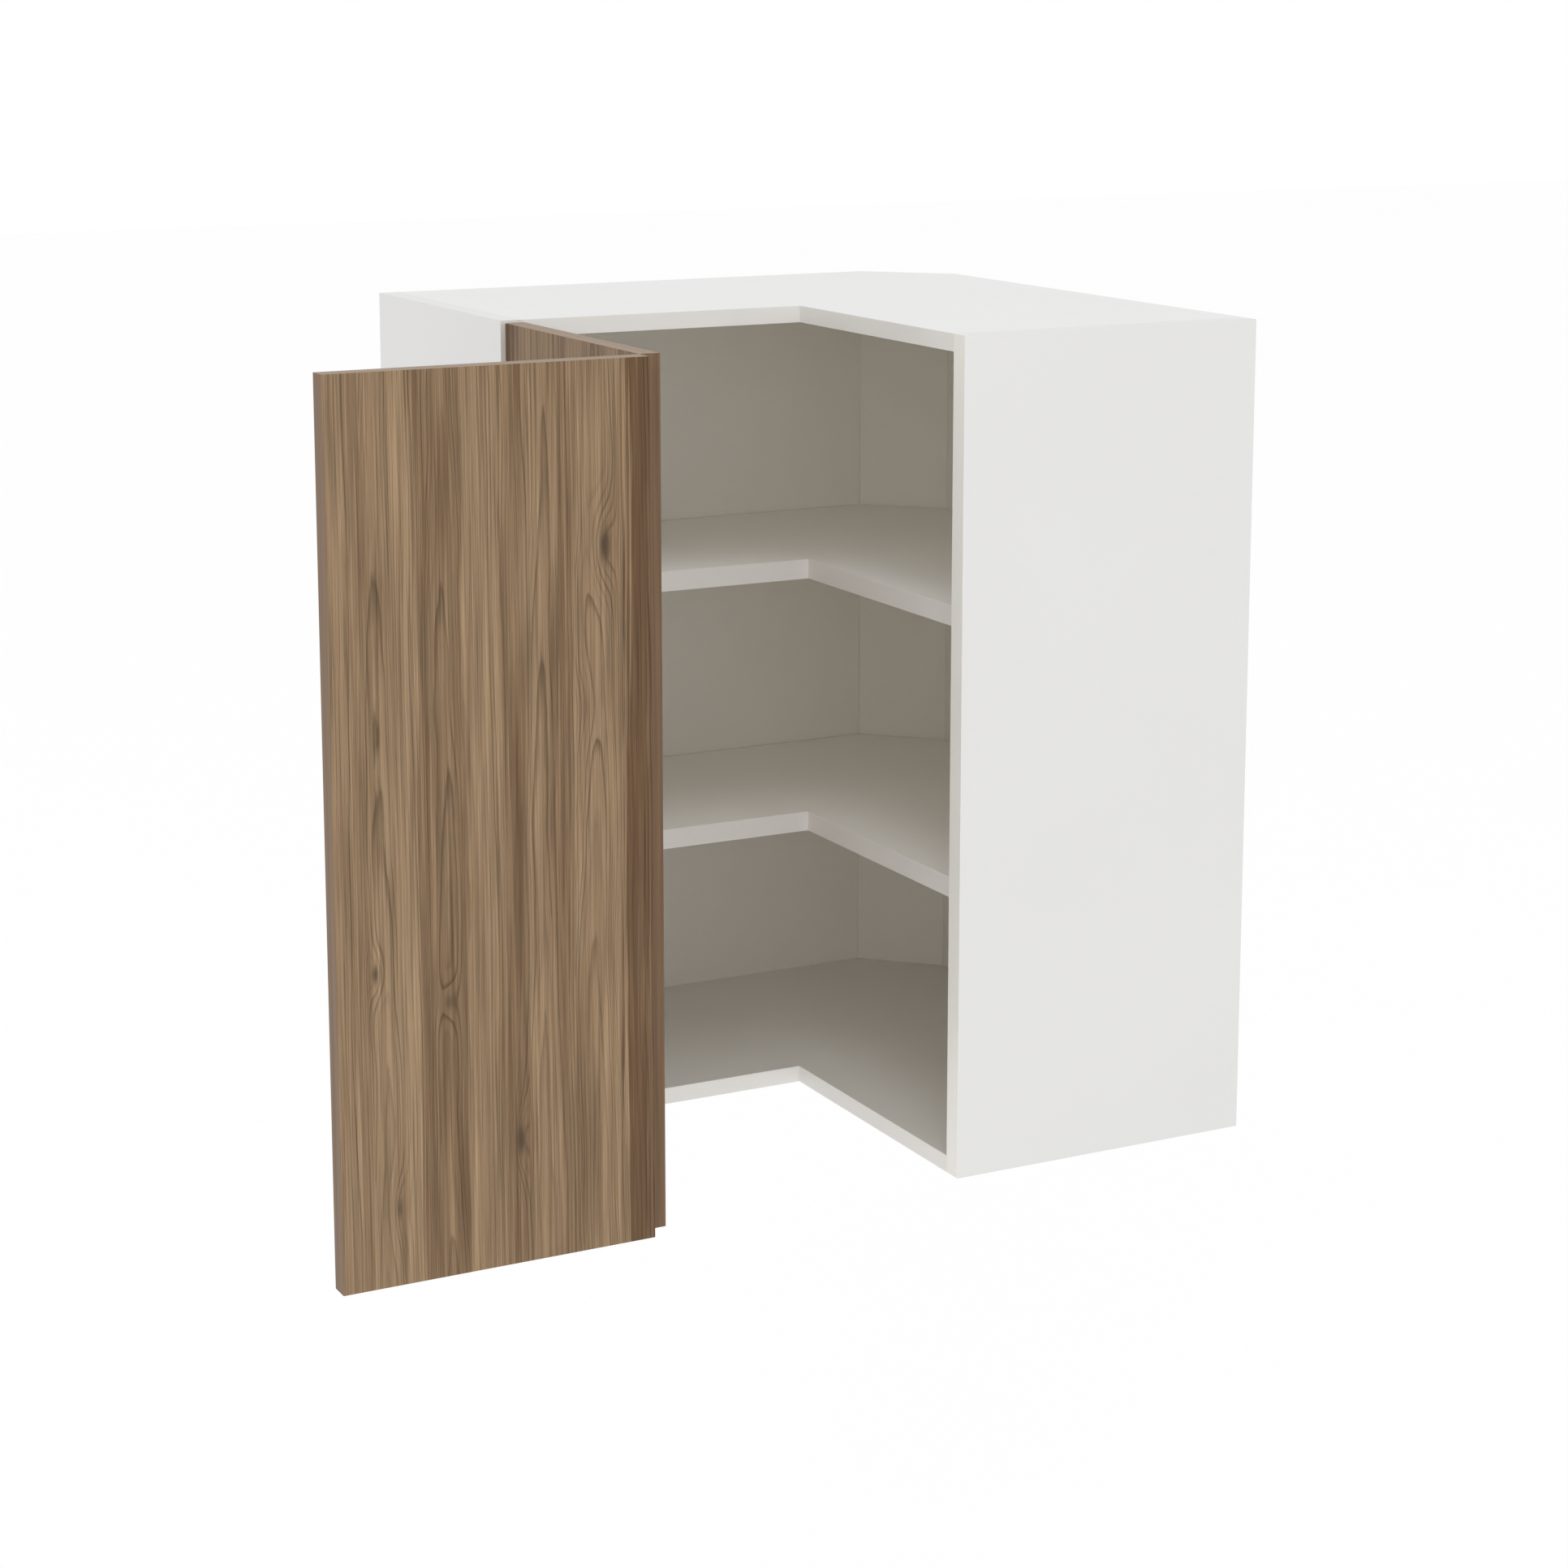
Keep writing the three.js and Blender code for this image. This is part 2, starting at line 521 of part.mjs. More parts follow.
function hingeArm(z) {
  const [pivotX, pivotY] = toPlan(armPin);
  const webTop = pivotY + ARM_RISE;
  const webStart = pivotX - LINK_EYE_RADIUS - ARM_NOSE;
  const base = pivotY - ARM_DROP;
  const rear = pivotX - ARM_LENGTH;
  const [z0, z1] = [z - armHalfHeight, z + armHalfHeight];
  const side = prism([
    [rear, base], [webStart, base], [pivotX, pivotY - LINK_EYE_RADIUS], [pivotX + LINK_EYE_RADIUS, pivotY],
    [pivotX, pivotY + LINK_EYE_RADIUS], [webStart, webTop], [rear, webTop],
  ], z0, z1);
  const below = Math.min(base, pivotY - LINK_EYE_RADIUS) - OVERCUT;
  const ahead = pivotX + LINK_EYE_RADIUS + OVERCUT;
  const channel = box(
    [rear - OVERCUT, below, z0 + ARM_EAR],
    [ahead, webTop - ARM_WEB, z1 - ARM_EAR],
  );
  const mouth = box(
    [webStart - ARM_MOUTH_SETBACK, below, z0 + ARM_EAR],
    [ahead, webTop + OVERCUT, z1 - ARM_EAR],
  );
  const boreRadius = HINGE_PIN_RADIUS + PRESS_CLEARANCE;
  const bore = post([pivotX, pivotY], boreRadius, z0 - OVERCUT, z1 + OVERCUT);
  return side.subtract(channel).subtract(mouth).subtract(bore);
}

function hingePlate(z) {
  const screwLine = LEG_DEPTH - PLATE_SETBACK;
  const face = END_INNER_Y + JOINT_GAP;
  const pinY = toPlan(armPin)[1];
  const top = pinY - ARM_DROP - JOINT_GAP;
  const wings = box(
    [screwLine - PLATE_WING_WIDTH / 2, face, z - PLATE_WING_HEIGHT / 2],
    [screwLine + PLATE_WING_WIDTH / 2, top, z + PLATE_WING_HEIGHT / 2],
  );
  const railHalf = LINK_HEIGHT / 2;
  const tongueTop = pinY + ARM_RISE - ARM_WEB - SIDE_CLEARANCE;
  const rail = box(
    [screwLine - PLATE_RAIL_LENGTH / 2, face, z - armHalfHeight],
    [screwLine + PLATE_RAIL_LENGTH / 2, top, z + armHalfHeight],
  );
  const tongue = box(
    [screwLine - PLATE_RAIL_LENGTH / 2, top - PLATE_TONGUE_ROOT, z - railHalf],
    [screwLine + PLATE_RAIL_LENGTH / 2 - PLATE_TONGUE_SETBACK, tongueTop, z + railHalf],
  );
  return wings.add(rail).add(tongue);
}

function makeHinges() {
  HINGE_LEVELS.forEach((z, i) => {
    const n = i + 1;
    const pinHalf = armHalfHeight - ARM_PIN_INSET;
    const cupPin = post(toPlan(cupPinOpen), HINGE_PIN_RADIUS, z - cupPinReach, z + cupPinReach);
    add(`hinge_plate_${n}`, hingePlate(z), nickel);
    add(`hinge_arm_${n}`, hingeArm(z), nickel);
    add(`hinge_arm_pin_${n}`, post(toPlan(armPin), HINGE_PIN_RADIUS, z - pinHalf, z + pinHalf), zinc);
    add(`hinge_link_${n}`, hingeLink(z), nickel);
    add(`hinge_cup_${n}`, hingeCup(z), nickel);
    add(`hinge_cup_pin_${n}`, cupPin, zinc);
  });
}

// ---------------------------------------------------------------- fold hinges between the leaves

// Butt hinges in the corner between the leaves' outer faces. Knuckles alternate along the pin:
// the hinged leaf's flap has the two end ones, and the free leaf's flap the middle one.
const foldOffset = FOLD_KNUCKLE_RADIUS + FOLD_KNUCKLE_GAP;
const foldAxis = [CORNER_X - foldOffset, LEAF_OUTER_Y - foldOffset];

function knuckle(z0, z1) {
  return post(foldAxis, FOLD_KNUCKLE_RADIUS, z0, z1);
}

function makeFoldHinges() {
  const half = FOLD_HINGE_HEIGHT / 2;
  const third = FOLD_HINGE_HEIGHT / 3;
  const [axisX, axisY] = foldAxis;
  const hingedFace = LEAF_OUTER_Y - FOLD_FLAP_GAP;
  const freeFace = CORNER_X - FOLD_FLAP_GAP;
  FOLD_LEVELS.forEach((z, i) => {
    const [low, high] = [z - half, z + half];
    const [middleLow, middleHigh] = [low + third, high - third];
    const bore = post(foldAxis, FOLD_PIN_RADIUS + PIN_CLEARANCE, low - OVERCUT, high + OVERCUT);
    const room = (z0, z1) => post(foldAxis, foldOffset, z0, z1);
    const middleRoom = room(middleLow - FOLD_KNUCKLE_GAP, middleHigh + FOLD_KNUCKLE_GAP);
    const hingedFlap = box([axisX - FOLD_FLAP_WIDTH, hingedFace - FOLD_FLAP, low], [axisX, hingedFace, high])
      .subtract(middleRoom)
      .add(knuckle(low, middleLow))
      .add(knuckle(middleHigh, high))
      .subtract(bore);
    const flapLow = middleLow + FOLD_KNUCKLE_GAP;
    const flapHigh = middleHigh - FOLD_KNUCKLE_GAP;
    const endRoom = room(low - OVERCUT, flapLow).add(room(flapHigh, high + OVERCUT));
    const freeFlap = box([freeFace - FOLD_FLAP, axisY - FOLD_FLAP_WIDTH, low], [freeFace, axisY, high])
      .subtract(endRoom)
      .add(knuckle(flapLow, flapHigh))
      .subtract(bore);
    add(`fold_hinge_flap_hinged_${i + 1}`, hingedFlap, nickel);
    add(`fold_hinge_flap_free_${i + 1}`, freeFlap, nickel);
    const pin = post(foldAxis, FOLD_PIN_RADIUS, low - FOLD_PIN_HEAD, high + FOLD_PIN_HEAD);
    add(`fold_hinge_pin_${i + 1}`, pin, zinc);
  });
}

makeCarcass();
makeShelves();
makeCams();
makeHangers();
makeDoor();
makeHinges();
makeFoldHinges();

cabinet.position.set(-LEG_DEPTH / 2, LEG_DEPTH / 2, 0);

export default cabinet;
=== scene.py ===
"""Looks of a hanging corner wall cabinet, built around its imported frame.

Every size comes from the frame or is a maker's size in metres. The carcass stands still; the
door is a pair of veneered leaves on concealed hinges, with fold hinges between the leaves.
"""

import json
import logging
import math
from dataclasses import dataclass, field
from enum import Enum, IntEnum
from typing import Callable, Sequence

import bmesh
import bpy
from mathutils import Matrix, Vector


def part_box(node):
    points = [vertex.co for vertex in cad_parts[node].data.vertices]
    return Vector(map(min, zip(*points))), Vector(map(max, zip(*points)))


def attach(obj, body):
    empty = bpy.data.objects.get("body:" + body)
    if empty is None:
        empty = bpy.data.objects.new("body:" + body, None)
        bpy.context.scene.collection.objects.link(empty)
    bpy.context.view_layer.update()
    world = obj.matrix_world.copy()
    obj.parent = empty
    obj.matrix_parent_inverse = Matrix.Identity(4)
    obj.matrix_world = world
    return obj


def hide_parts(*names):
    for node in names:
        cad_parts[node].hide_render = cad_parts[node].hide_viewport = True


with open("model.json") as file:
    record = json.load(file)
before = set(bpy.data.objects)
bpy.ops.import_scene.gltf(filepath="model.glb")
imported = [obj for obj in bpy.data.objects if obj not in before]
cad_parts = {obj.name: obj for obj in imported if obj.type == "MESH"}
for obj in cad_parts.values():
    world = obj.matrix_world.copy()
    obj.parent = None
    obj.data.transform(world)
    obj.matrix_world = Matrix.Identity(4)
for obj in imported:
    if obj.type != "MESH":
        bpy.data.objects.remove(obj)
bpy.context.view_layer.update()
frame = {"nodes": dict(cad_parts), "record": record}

LOG = logging.getLogger("cabinet")
MERGE = 1e-6                      # points closer than this are one
NEAR = 0.0005                     # a point this close to a plane lies in it
SQUARE = 0.9                      # the least part of its normal along the axis that a face looks along
BROAD = 0.8                       # the same for a leaf's broad face
SLANTED = 0.5                     # the same along both axes for a face that looks between them
FLANK = 0.6                       # the same along Z for a level edge
FLAT_ANGLE = math.radians(0.5)    # faces that meet at less are one face
EDGE_ANGLE = math.radians(40)     # edges sharper than this are eased
SHARP_ANGLE = math.radians(28)    # edges sharper than this shade as sharp

Colour = tuple[float, float, float]
Rule = Callable[[Vector, Vector], int]
Material = bpy.types.Material
Socket = bpy.types.NodeSocket


class Axis(Enum):
    """A direction of the frame, as its place in a point."""

    X = 0
    Y = 1
    Z = 2


class Body(Enum):
    """The bodies that new pieces ride on."""

    CARCASS = "carcass"
    HINGED_LEAF = "hinged_leaf"
    FREE_LEAF = "free_leaf"


def body_of_node(node: str) -> str:
    """Finds the body that a frame node belongs to.

    Args:
        node: the node's name.

    Returns:
        The body's name.
    """
    bodies = frame["record"]["behaviour"]["bodies"]
    return next(body for body, members in bodies.items() if node in members)


def slot_of_node(node: str) -> str:
    """Returns the finish slot of a frame node, which is its own material's name."""
    return frame["nodes"][node].data.materials[0].name


def points_of_node(node: str) -> list[Vector]:
    """Returns the corners of a frame node's mesh."""
    return [vertex.co for vertex in frame["nodes"][node].data.vertices]


def toned(colour: Colour, by: float) -> Colour:
    """Scales a colour, no further than white."""
    return tuple(min(1.0, part * by) for part in colour)


# ---------------------------------------------------------------- finishes


class Wiring:
    """A node tree, with short ways to add and join its nodes."""

    def __init__(self, tree: bpy.types.NodeTree) -> None:
        """Takes the tree in hand.

        Args:
            tree: the tree to build in.
        """
        self.tree = tree

    def feed(self, socket: Socket, value: object) -> None:
        """Links a socket to value if that is a socket too, and otherwise sets it.

        Args:
            socket: the input to feed.
            value: a socket, a number or a tuple.
        """
        if isinstance(value, Socket):
            self.tree.links.new(value, socket)
        else:
            socket.default_value = value

    def add(self, kind: str, values: dict | None = None, **settings: object) -> bpy.types.Node:
        """Adds a node.

        Args:
            kind: the node's type.
            values: sockets or numbers for its inputs, by name or place.
            **settings: the node's own properties.

        Returns:
            The new node.
        """
        node = self.tree.nodes.new(kind)
        for name, value in settings.items():
            setattr(node, name, value)
        for key, value in (values or {}).items():
            self.feed(node.inputs[key], value)
        return node

    def math(self, operation: str, *terms: object) -> Socket:
        """Adds a Math node over the terms and returns its result."""
        return self.add("ShaderNodeMath", dict(enumerate(terms)), operation=operation).outputs[0]


@dataclass(frozen=True)
class Grain:
    """A noise drawn out along the grain: features to the metre each way, octaves, and its reach."""

    across: float
    along: float
    octaves: float = 3.0
    rough: float = 0.5
    reach: float = 1.0


class Desk(Wiring):
    """One material's nodes, and its ways with noise, colour and relief."""

    def __init__(self, name: str) -> None:
        """Makes an empty material with a Principled shader.

        Args:
            name: the material's name.
        """
        self.material = bpy.data.materials.new(name)
        self.material.use_nodes = True
        super().__init__(self.material.node_tree)
        self.tree.nodes.clear()
        self.shader = self.add("ShaderNodeBsdfPrincipled")
        self.add("ShaderNodeOutputMaterial", {"Surface": self.shader.outputs[0]})
        self.place = self.add("ShaderNodeTexCoord").outputs["Object"]

    def noise(self, vector: object, scale: float, detail: float = 2.0, rough: float = 0.5) -> Socket:
        """Adds a noise texture.

        Args:
            vector: where it is read.
            scale: features to the metre.
            detail: octaves.
            rough: how much the finer octaves count.

        Returns:
            The noise, from 0 to 1.
        """
        values = {"Vector": vector, "Scale": scale, "Detail": detail, "Roughness": rough}
        return self.add("ShaderNodeTexNoise", values).outputs[0]

    def stretched(self, scales: Sequence[float], vector: object = None) -> Socket:
        """Returns the place scaled along each axis, for grain that runs one way."""
        source = self.place if vector is None else vector
        return self.add("ShaderNodeMapping", {"Vector": source, "Scale": tuple(scales)}).outputs[0]

    def drawn(self, grain: Grain, vector: object) -> Socket:
        """Reads a noise that is drawn out along the grain, which runs along Z."""
        place = self.stretched((grain.across, 1.0, grain.along), vector)
        return self.noise(place, 1.0, grain.octaves, grain.rough)

    def ramp(
        self, factor: object, stops: Sequence[tuple[float, Sequence[float]]], how: str = "LINEAR"
    ) -> Socket:
        """Adds a colour ramp.

        Args:
            factor: the value that it reads.
            stops: its places and their colours.
            how: the ramp's interpolation.

        Returns:
            The colour.
        """
        node = self.add("ShaderNodeValToRGB", {0: factor})
        band = node.color_ramp
        band.interpolation = how
        while len(band.elements) < len(stops):
            band.elements.new(1.0)
        for element, (at, colour) in zip(band.elements, stops):
            element.position = at
            element.color = (*colour, 1.0)
        return node.outputs[0]

    def mix(self, factor: object, first: object, second: object, blend: str = "MIX") -> Socket:
        """Mixes two colours.

        Args:
            factor: how much of the second there is.
            first: a colour or a socket.
            second: a colour or a socket.
            blend: how they are mixed.

        Returns:
            The mixed colour.
        """
        node = self.add("ShaderNodeMix", data_type="RGBA", blend_type=blend)
        self.feed(node.inputs["Factor"], factor)
        for socket, value in zip([s for s in node.inputs if s.type == "RGBA"], (first, second)):
            self.feed(socket, (*value, 1.0) if isinstance(value, tuple) else value)
        return next(s for s in node.outputs if s.type == "RGBA")

    def spread(self, factor: object, low: float, high: float) -> Socket:
        """Maps a factor from 0..1 to low..high."""
        return self.math("MULTIPLY_ADD", factor, high - low, low)

    def swayed(self, grain: Grain, vector: object) -> Socket:
        """Reads a drawn-out noise, spread from minus its reach to its reach."""
        return self.spread(self.drawn(grain, vector), -grain.reach, grain.reach)

    def blend(self, first: object, second: object, share: float) -> Socket:
        """Adds share of the first factor to the rest of the second."""
        return self.math("MULTIPLY_ADD", first, share, self.math("MULTIPLY", second, 1.0 - share))

    def rise(self, factor: object, low: float, high: float) -> Socket:
        """Rises from 0 where the factor is low to 1 where it is high."""
        return self.add("ShaderNodeMapRange", {0: factor, 1: low, 2: high}).outputs[0]

    def relief(self, height: object, depth: float, strength: float = 1.0, under: object = None) -> Socket:
        """Adds a bump.

        Args:
            height: its height, from 0 to 1.
            depth: the depth of a height of 1, in metres.
            strength: how much of it shows.
            under: the normal of a coarser bump under it, if there is one.

        Returns:
            The normal.
        """
        values = {"Height": height, "Distance": depth, "Strength": strength}
        if under is not None:
            values["Normal"] = under
        return self.add("ShaderNodeBump", values).outputs[0]

    def finish(self, **inputs: object) -> Material:
        """Feeds the shader's inputs.

        Args:
            **inputs: values or sockets, spaces in their names written as underscores.

        Returns:
            The finished material.
        """
        for name, value in inputs.items():
            self.feed(self.shader.inputs[name.replace("_", " ")], value)
        return self.material


@dataclass(frozen=True)
class Melamine:
    """A melamine face: an even tone with a faint cloud and a fine pearl texture."""

    name: str
    colour: Colour
    roughness: float = 0.42
    roughness_swing: float = 0.05
    worn: float = 60.0
    pearl: float = 1500.0
    pearl_depth: float = 0.00003
    cloud: float = 0.035
    clouds_to_metre: float = 5.0
    specks_to_metre: float = 320.0
    speck_share: float = 0.25

    def make(self) -> Material:
        """Builds the material.

        Returns:
            The finished material.
        """
        desk = Desk(self.name)
        speck = desk.noise(desk.place, self.specks_to_metre, 2.0)
        cloud = desk.noise(desk.place, self.clouds_to_metre, 3.0)
        dark = toned(self.colour, 1 - self.cloud)
        light = toned(self.colour, 1 + self.cloud)
        worn = desk.noise(desk.place, self.worn)
        pearl = desk.noise(desk.place, self.pearl, 1.0)
        swing = self.roughness_swing
        return desk.finish(
            Base_Color=desk.mix(desk.blend(speck, cloud, self.speck_share), dark, light),
            Roughness=desk.spread(worn, self.roughness - swing, self.roughness + swing),
            Normal=desk.relief(pearl, self.pearl_depth, 0.6),
            Specular_IOR_Level=0.35,
        )


@dataclass(frozen=True)
class Banding:
    """A thin plastic edge band, scraped along its length, with faint chatter marks."""

    name: str
    colour: Colour
    roughness: float = 0.34
    chatter: float = 420.0
    chatter_depth: float = 0.00004
    clouds_to_metre: float = 14.0

    def make(self) -> Material:
        """Builds the material.

        Returns:
            The finished material.
        """
        desk = Desk(self.name)
        chatter = desk.noise(desk.place, self.chatter, 1.0)
        cloud = desk.noise(desk.place, self.clouds_to_metre, 3.0)
        return desk.finish(
            Base_Color=desk.mix(cloud, toned(self.colour, 0.95), toned(self.colour, 1.04)),
            Roughness=desk.spread(chatter, self.roughness - 0.06, self.roughness + 0.08),
            Normal=desk.relief(chatter, self.chatter_depth, 0.5),
            Specular_IOR_Level=0.4,
        )


@dataclass(frozen=True)
class RawChipboard:
    """The sawn edge of a particle board: pressed flakes of several browns with dark gaps."""

    name: str = "raw_chipboard"
    flakes: tuple[tuple[float, Colour], ...] = (
        (0.0, (0.24, 0.165, 0.10)),
        (0.35, (0.44, 0.33, 0.215)),
        (0.7, (0.56, 0.44, 0.30)),
        (1.0, (0.68, 0.56, 0.40)),
    )
    flakes_to_metre: float = 900.0
    pits_to_metre: float = 700.0
    pit_depth: float = 0.0004
    gap: Colour = (0.35, 0.33, 0.3)

    def make(self) -> Material:
        """Builds the material.

        Returns:
            The finished material.
        """
        desk = Desk(self.name)
        values = {"Vector": desk.place, "Scale": self.flakes_to_metre, "Randomness": 1.0}
        flakes = desk.add("ShaderNodeTexVoronoi", values)
        tone = desk.add("ShaderNodeSeparateColor", {0: flakes.outputs["Color"]}).outputs[0]
        pits = desk.noise(desk.place, self.pits_to_metre, 3.0, 0.7)
        shade = desk.ramp(pits, [(0.36, self.gap), (0.5, (1.0, 1.0, 1.0))])
        return desk.finish(
            Base_Color=desk.mix(1.0, desk.ramp(tone, self.flakes), shade, "MULTIPLY"),
            Roughness=0.85,
            Normal=desk.relief(pits, self.pit_depth, 0.8),
            Specular_IOR_Level=0.2,
        )


@dataclass(frozen=True)
class BackBoard:
    """The rear face of a thin back panel: pale lacquered fibreboard with pressed-in mesh."""

    name: str = "back_board_rear"
    colour: Colour = (0.6, 0.585, 0.56)
    mesh_pitch: float = 3600.0
    mesh_depth: float = 0.00006
    fibres_to_metre: float = 420.0
    fibre_depth: float = 0.0001
    fibre_share: float = 0.6
    clouds_to_metre: float = 7.0

    def make(self) -> Material:
        """Builds the material.

        Returns:
            The finished material.
        """
        desk = Desk(self.name)
        fibre = desk.noise(desk.place, self.fibres_to_metre, 4.0, 0.65)
        cloud = desk.noise(desk.place, self.clouds_to_metre, 3.0)
        parts = desk.add("ShaderNodeSeparateXYZ", {0: desk.place}).outputs
        waves = [desk.math("SINE", desk.math("MULTIPLY", part, self.mesh_pitch)) for part in parts]
        mesh = desk.math("MULTIPLY", desk.math("MULTIPLY", waves[0], waves[1]), waves[2])
        tone = desk.blend(fibre, cloud, self.fibre_share)
        under = desk.relief(fibre, self.fibre_depth, 0.5)
        return desk.finish(
            Base_Color=desk.mix(tone, toned(self.colour, 0.86), self.colour),
            Roughness=0.6,
            Normal=desk.relief(mesh, self.mesh_depth, 0.5, under),
            Specular_IOR_Level=0.3,
        )


@dataclass(frozen=True)
class Strip:
    """One strip of veneer: where it starts and is centred across the leaf, its tone, its figure."""

    start: float
    tone: float
    centre: float
    figure: float


@dataclass(frozen=True)
class Knot:
    """A small knot: its place on the face, its half sizes, and how far the grain bends."""

    across: float
    up: float
    half_width: float
    half_height: float
    bend: float
    core: float


STRIPS = (
    Strip(0.000, 0.71, 0.03, 0.1),
    Strip(0.055, 0.57, 0.08, 0.0),
    Strip(0.100, 0.71, 0.142, 1.0),
    Strip(0.190, 0.80, 0.22, 0.0),
    Strip(0.258, 0.44, 0.345, 1.0),
    Strip(0.402, 0.72, 0.46, 0.25),
    Strip(0.525, 0.45, 0.56, 0.0),
    Strip(0.605, 0.62, 0.652, 0.9),
    Strip(0.678, 0.49, 0.71, 0.35),
    Strip(0.752, 0.67, 0.825, 0.8),
    Strip(0.918, 0.00, 0.96, 0.15),
)
LAST_STRIP_END = Strip(1.0, STRIPS[-1].tone, 1.0, 0.0)
STRIP_STEP = 0.004                # half of the share in which one strip's tone turns into the next
SEED_STEP = 0.37                  # from one strip's seed to the next
KNOTS = (
    Knot(0.845, 0.606, 0.0058, 0.020, 4.6, 1.7),
    Knot(0.124, 0.268, 0.0036, 0.011, 2.6, 1.2),
    Knot(0.575, 0.107, 0.0058, 0.017, 3.6, 1.4),
    Knot(0.175, 0.065, 0.0040, 0.015, 2.2, 0.8),
    Knot(0.343, 0.236, 0.0045, 0.010, 2.0, 0.7),
    Knot(0.790, 0.470, 0.0050, 0.016, 1.8, 0.3),
)
KNOT_PULL = -0.22                 # how fast the bend of the grain dies away round a knot
KNOT_CORE = -2.2                  # how fast its dark core does

FIBRES = Grain(640.0, 6.5, 3.0, 0.6)
PORES = Grain(2600.0, 55.0, 1.0)
VEINS = Grain(900.0, 5.0, 2.0, 0.6)
RAGGED = Grain(420.0, 40.0)
STREAKS = Grain(190.0, 4.2, 3.0, 0.62, reach=0.85)        # in tone
PATCHES = Grain(48.0, 2.6, 3.0, 0.6, reach=0.55)          # in tone
STRIP_SWAY = Grain(9.0, 2.4, 2.0, reach=0.03)             # in shares of the leaf's width
FRAY = Grain(300.0, 3.6, reach=0.06)                      # in shares of the leaf's width
ARCH_SWAY = Grain(6.0, 4.5, 2.0, reach=0.007)             # in metres
ARCH_DRIFT = Grain(22.0, 2.6, reach=2.6)                  # in rings
LINE_BEND = Grain(30.0, 1.6, 2.0, reach=3.0)              # in rings

ARCHES_TO_METRE = 6.5             # growth lines up the middle of an arch
ARCH_TIGHTNESS = 17000.0          # growth lines to the square metre away from its middle
LINES_TO_METRE = 300.0            # growth lines across a straight strip
SEED_SPREAD = 9.0                 # how far apart the strips' noises are read

CORE_RAGGED = (0.25, 1.5)         # how unevenly a knot's core is dark
RING_RAGGED = 0.22                # how far the growth lines are frayed, in rings
RING_POWER = 1.6                  # how rare the darkest rings are
RING_SHARE = (0.25, 1.0)          # the least and the most of its dark line that a ring shows

# how dark a growth ring is, from its early wood to its late wood
RING_STOPS = ((0.0, 0.3), (0.1, 0.04), (0.6, 0.12), (0.86, 0.8), (0.94, 1.0), (1.0, 0.4))


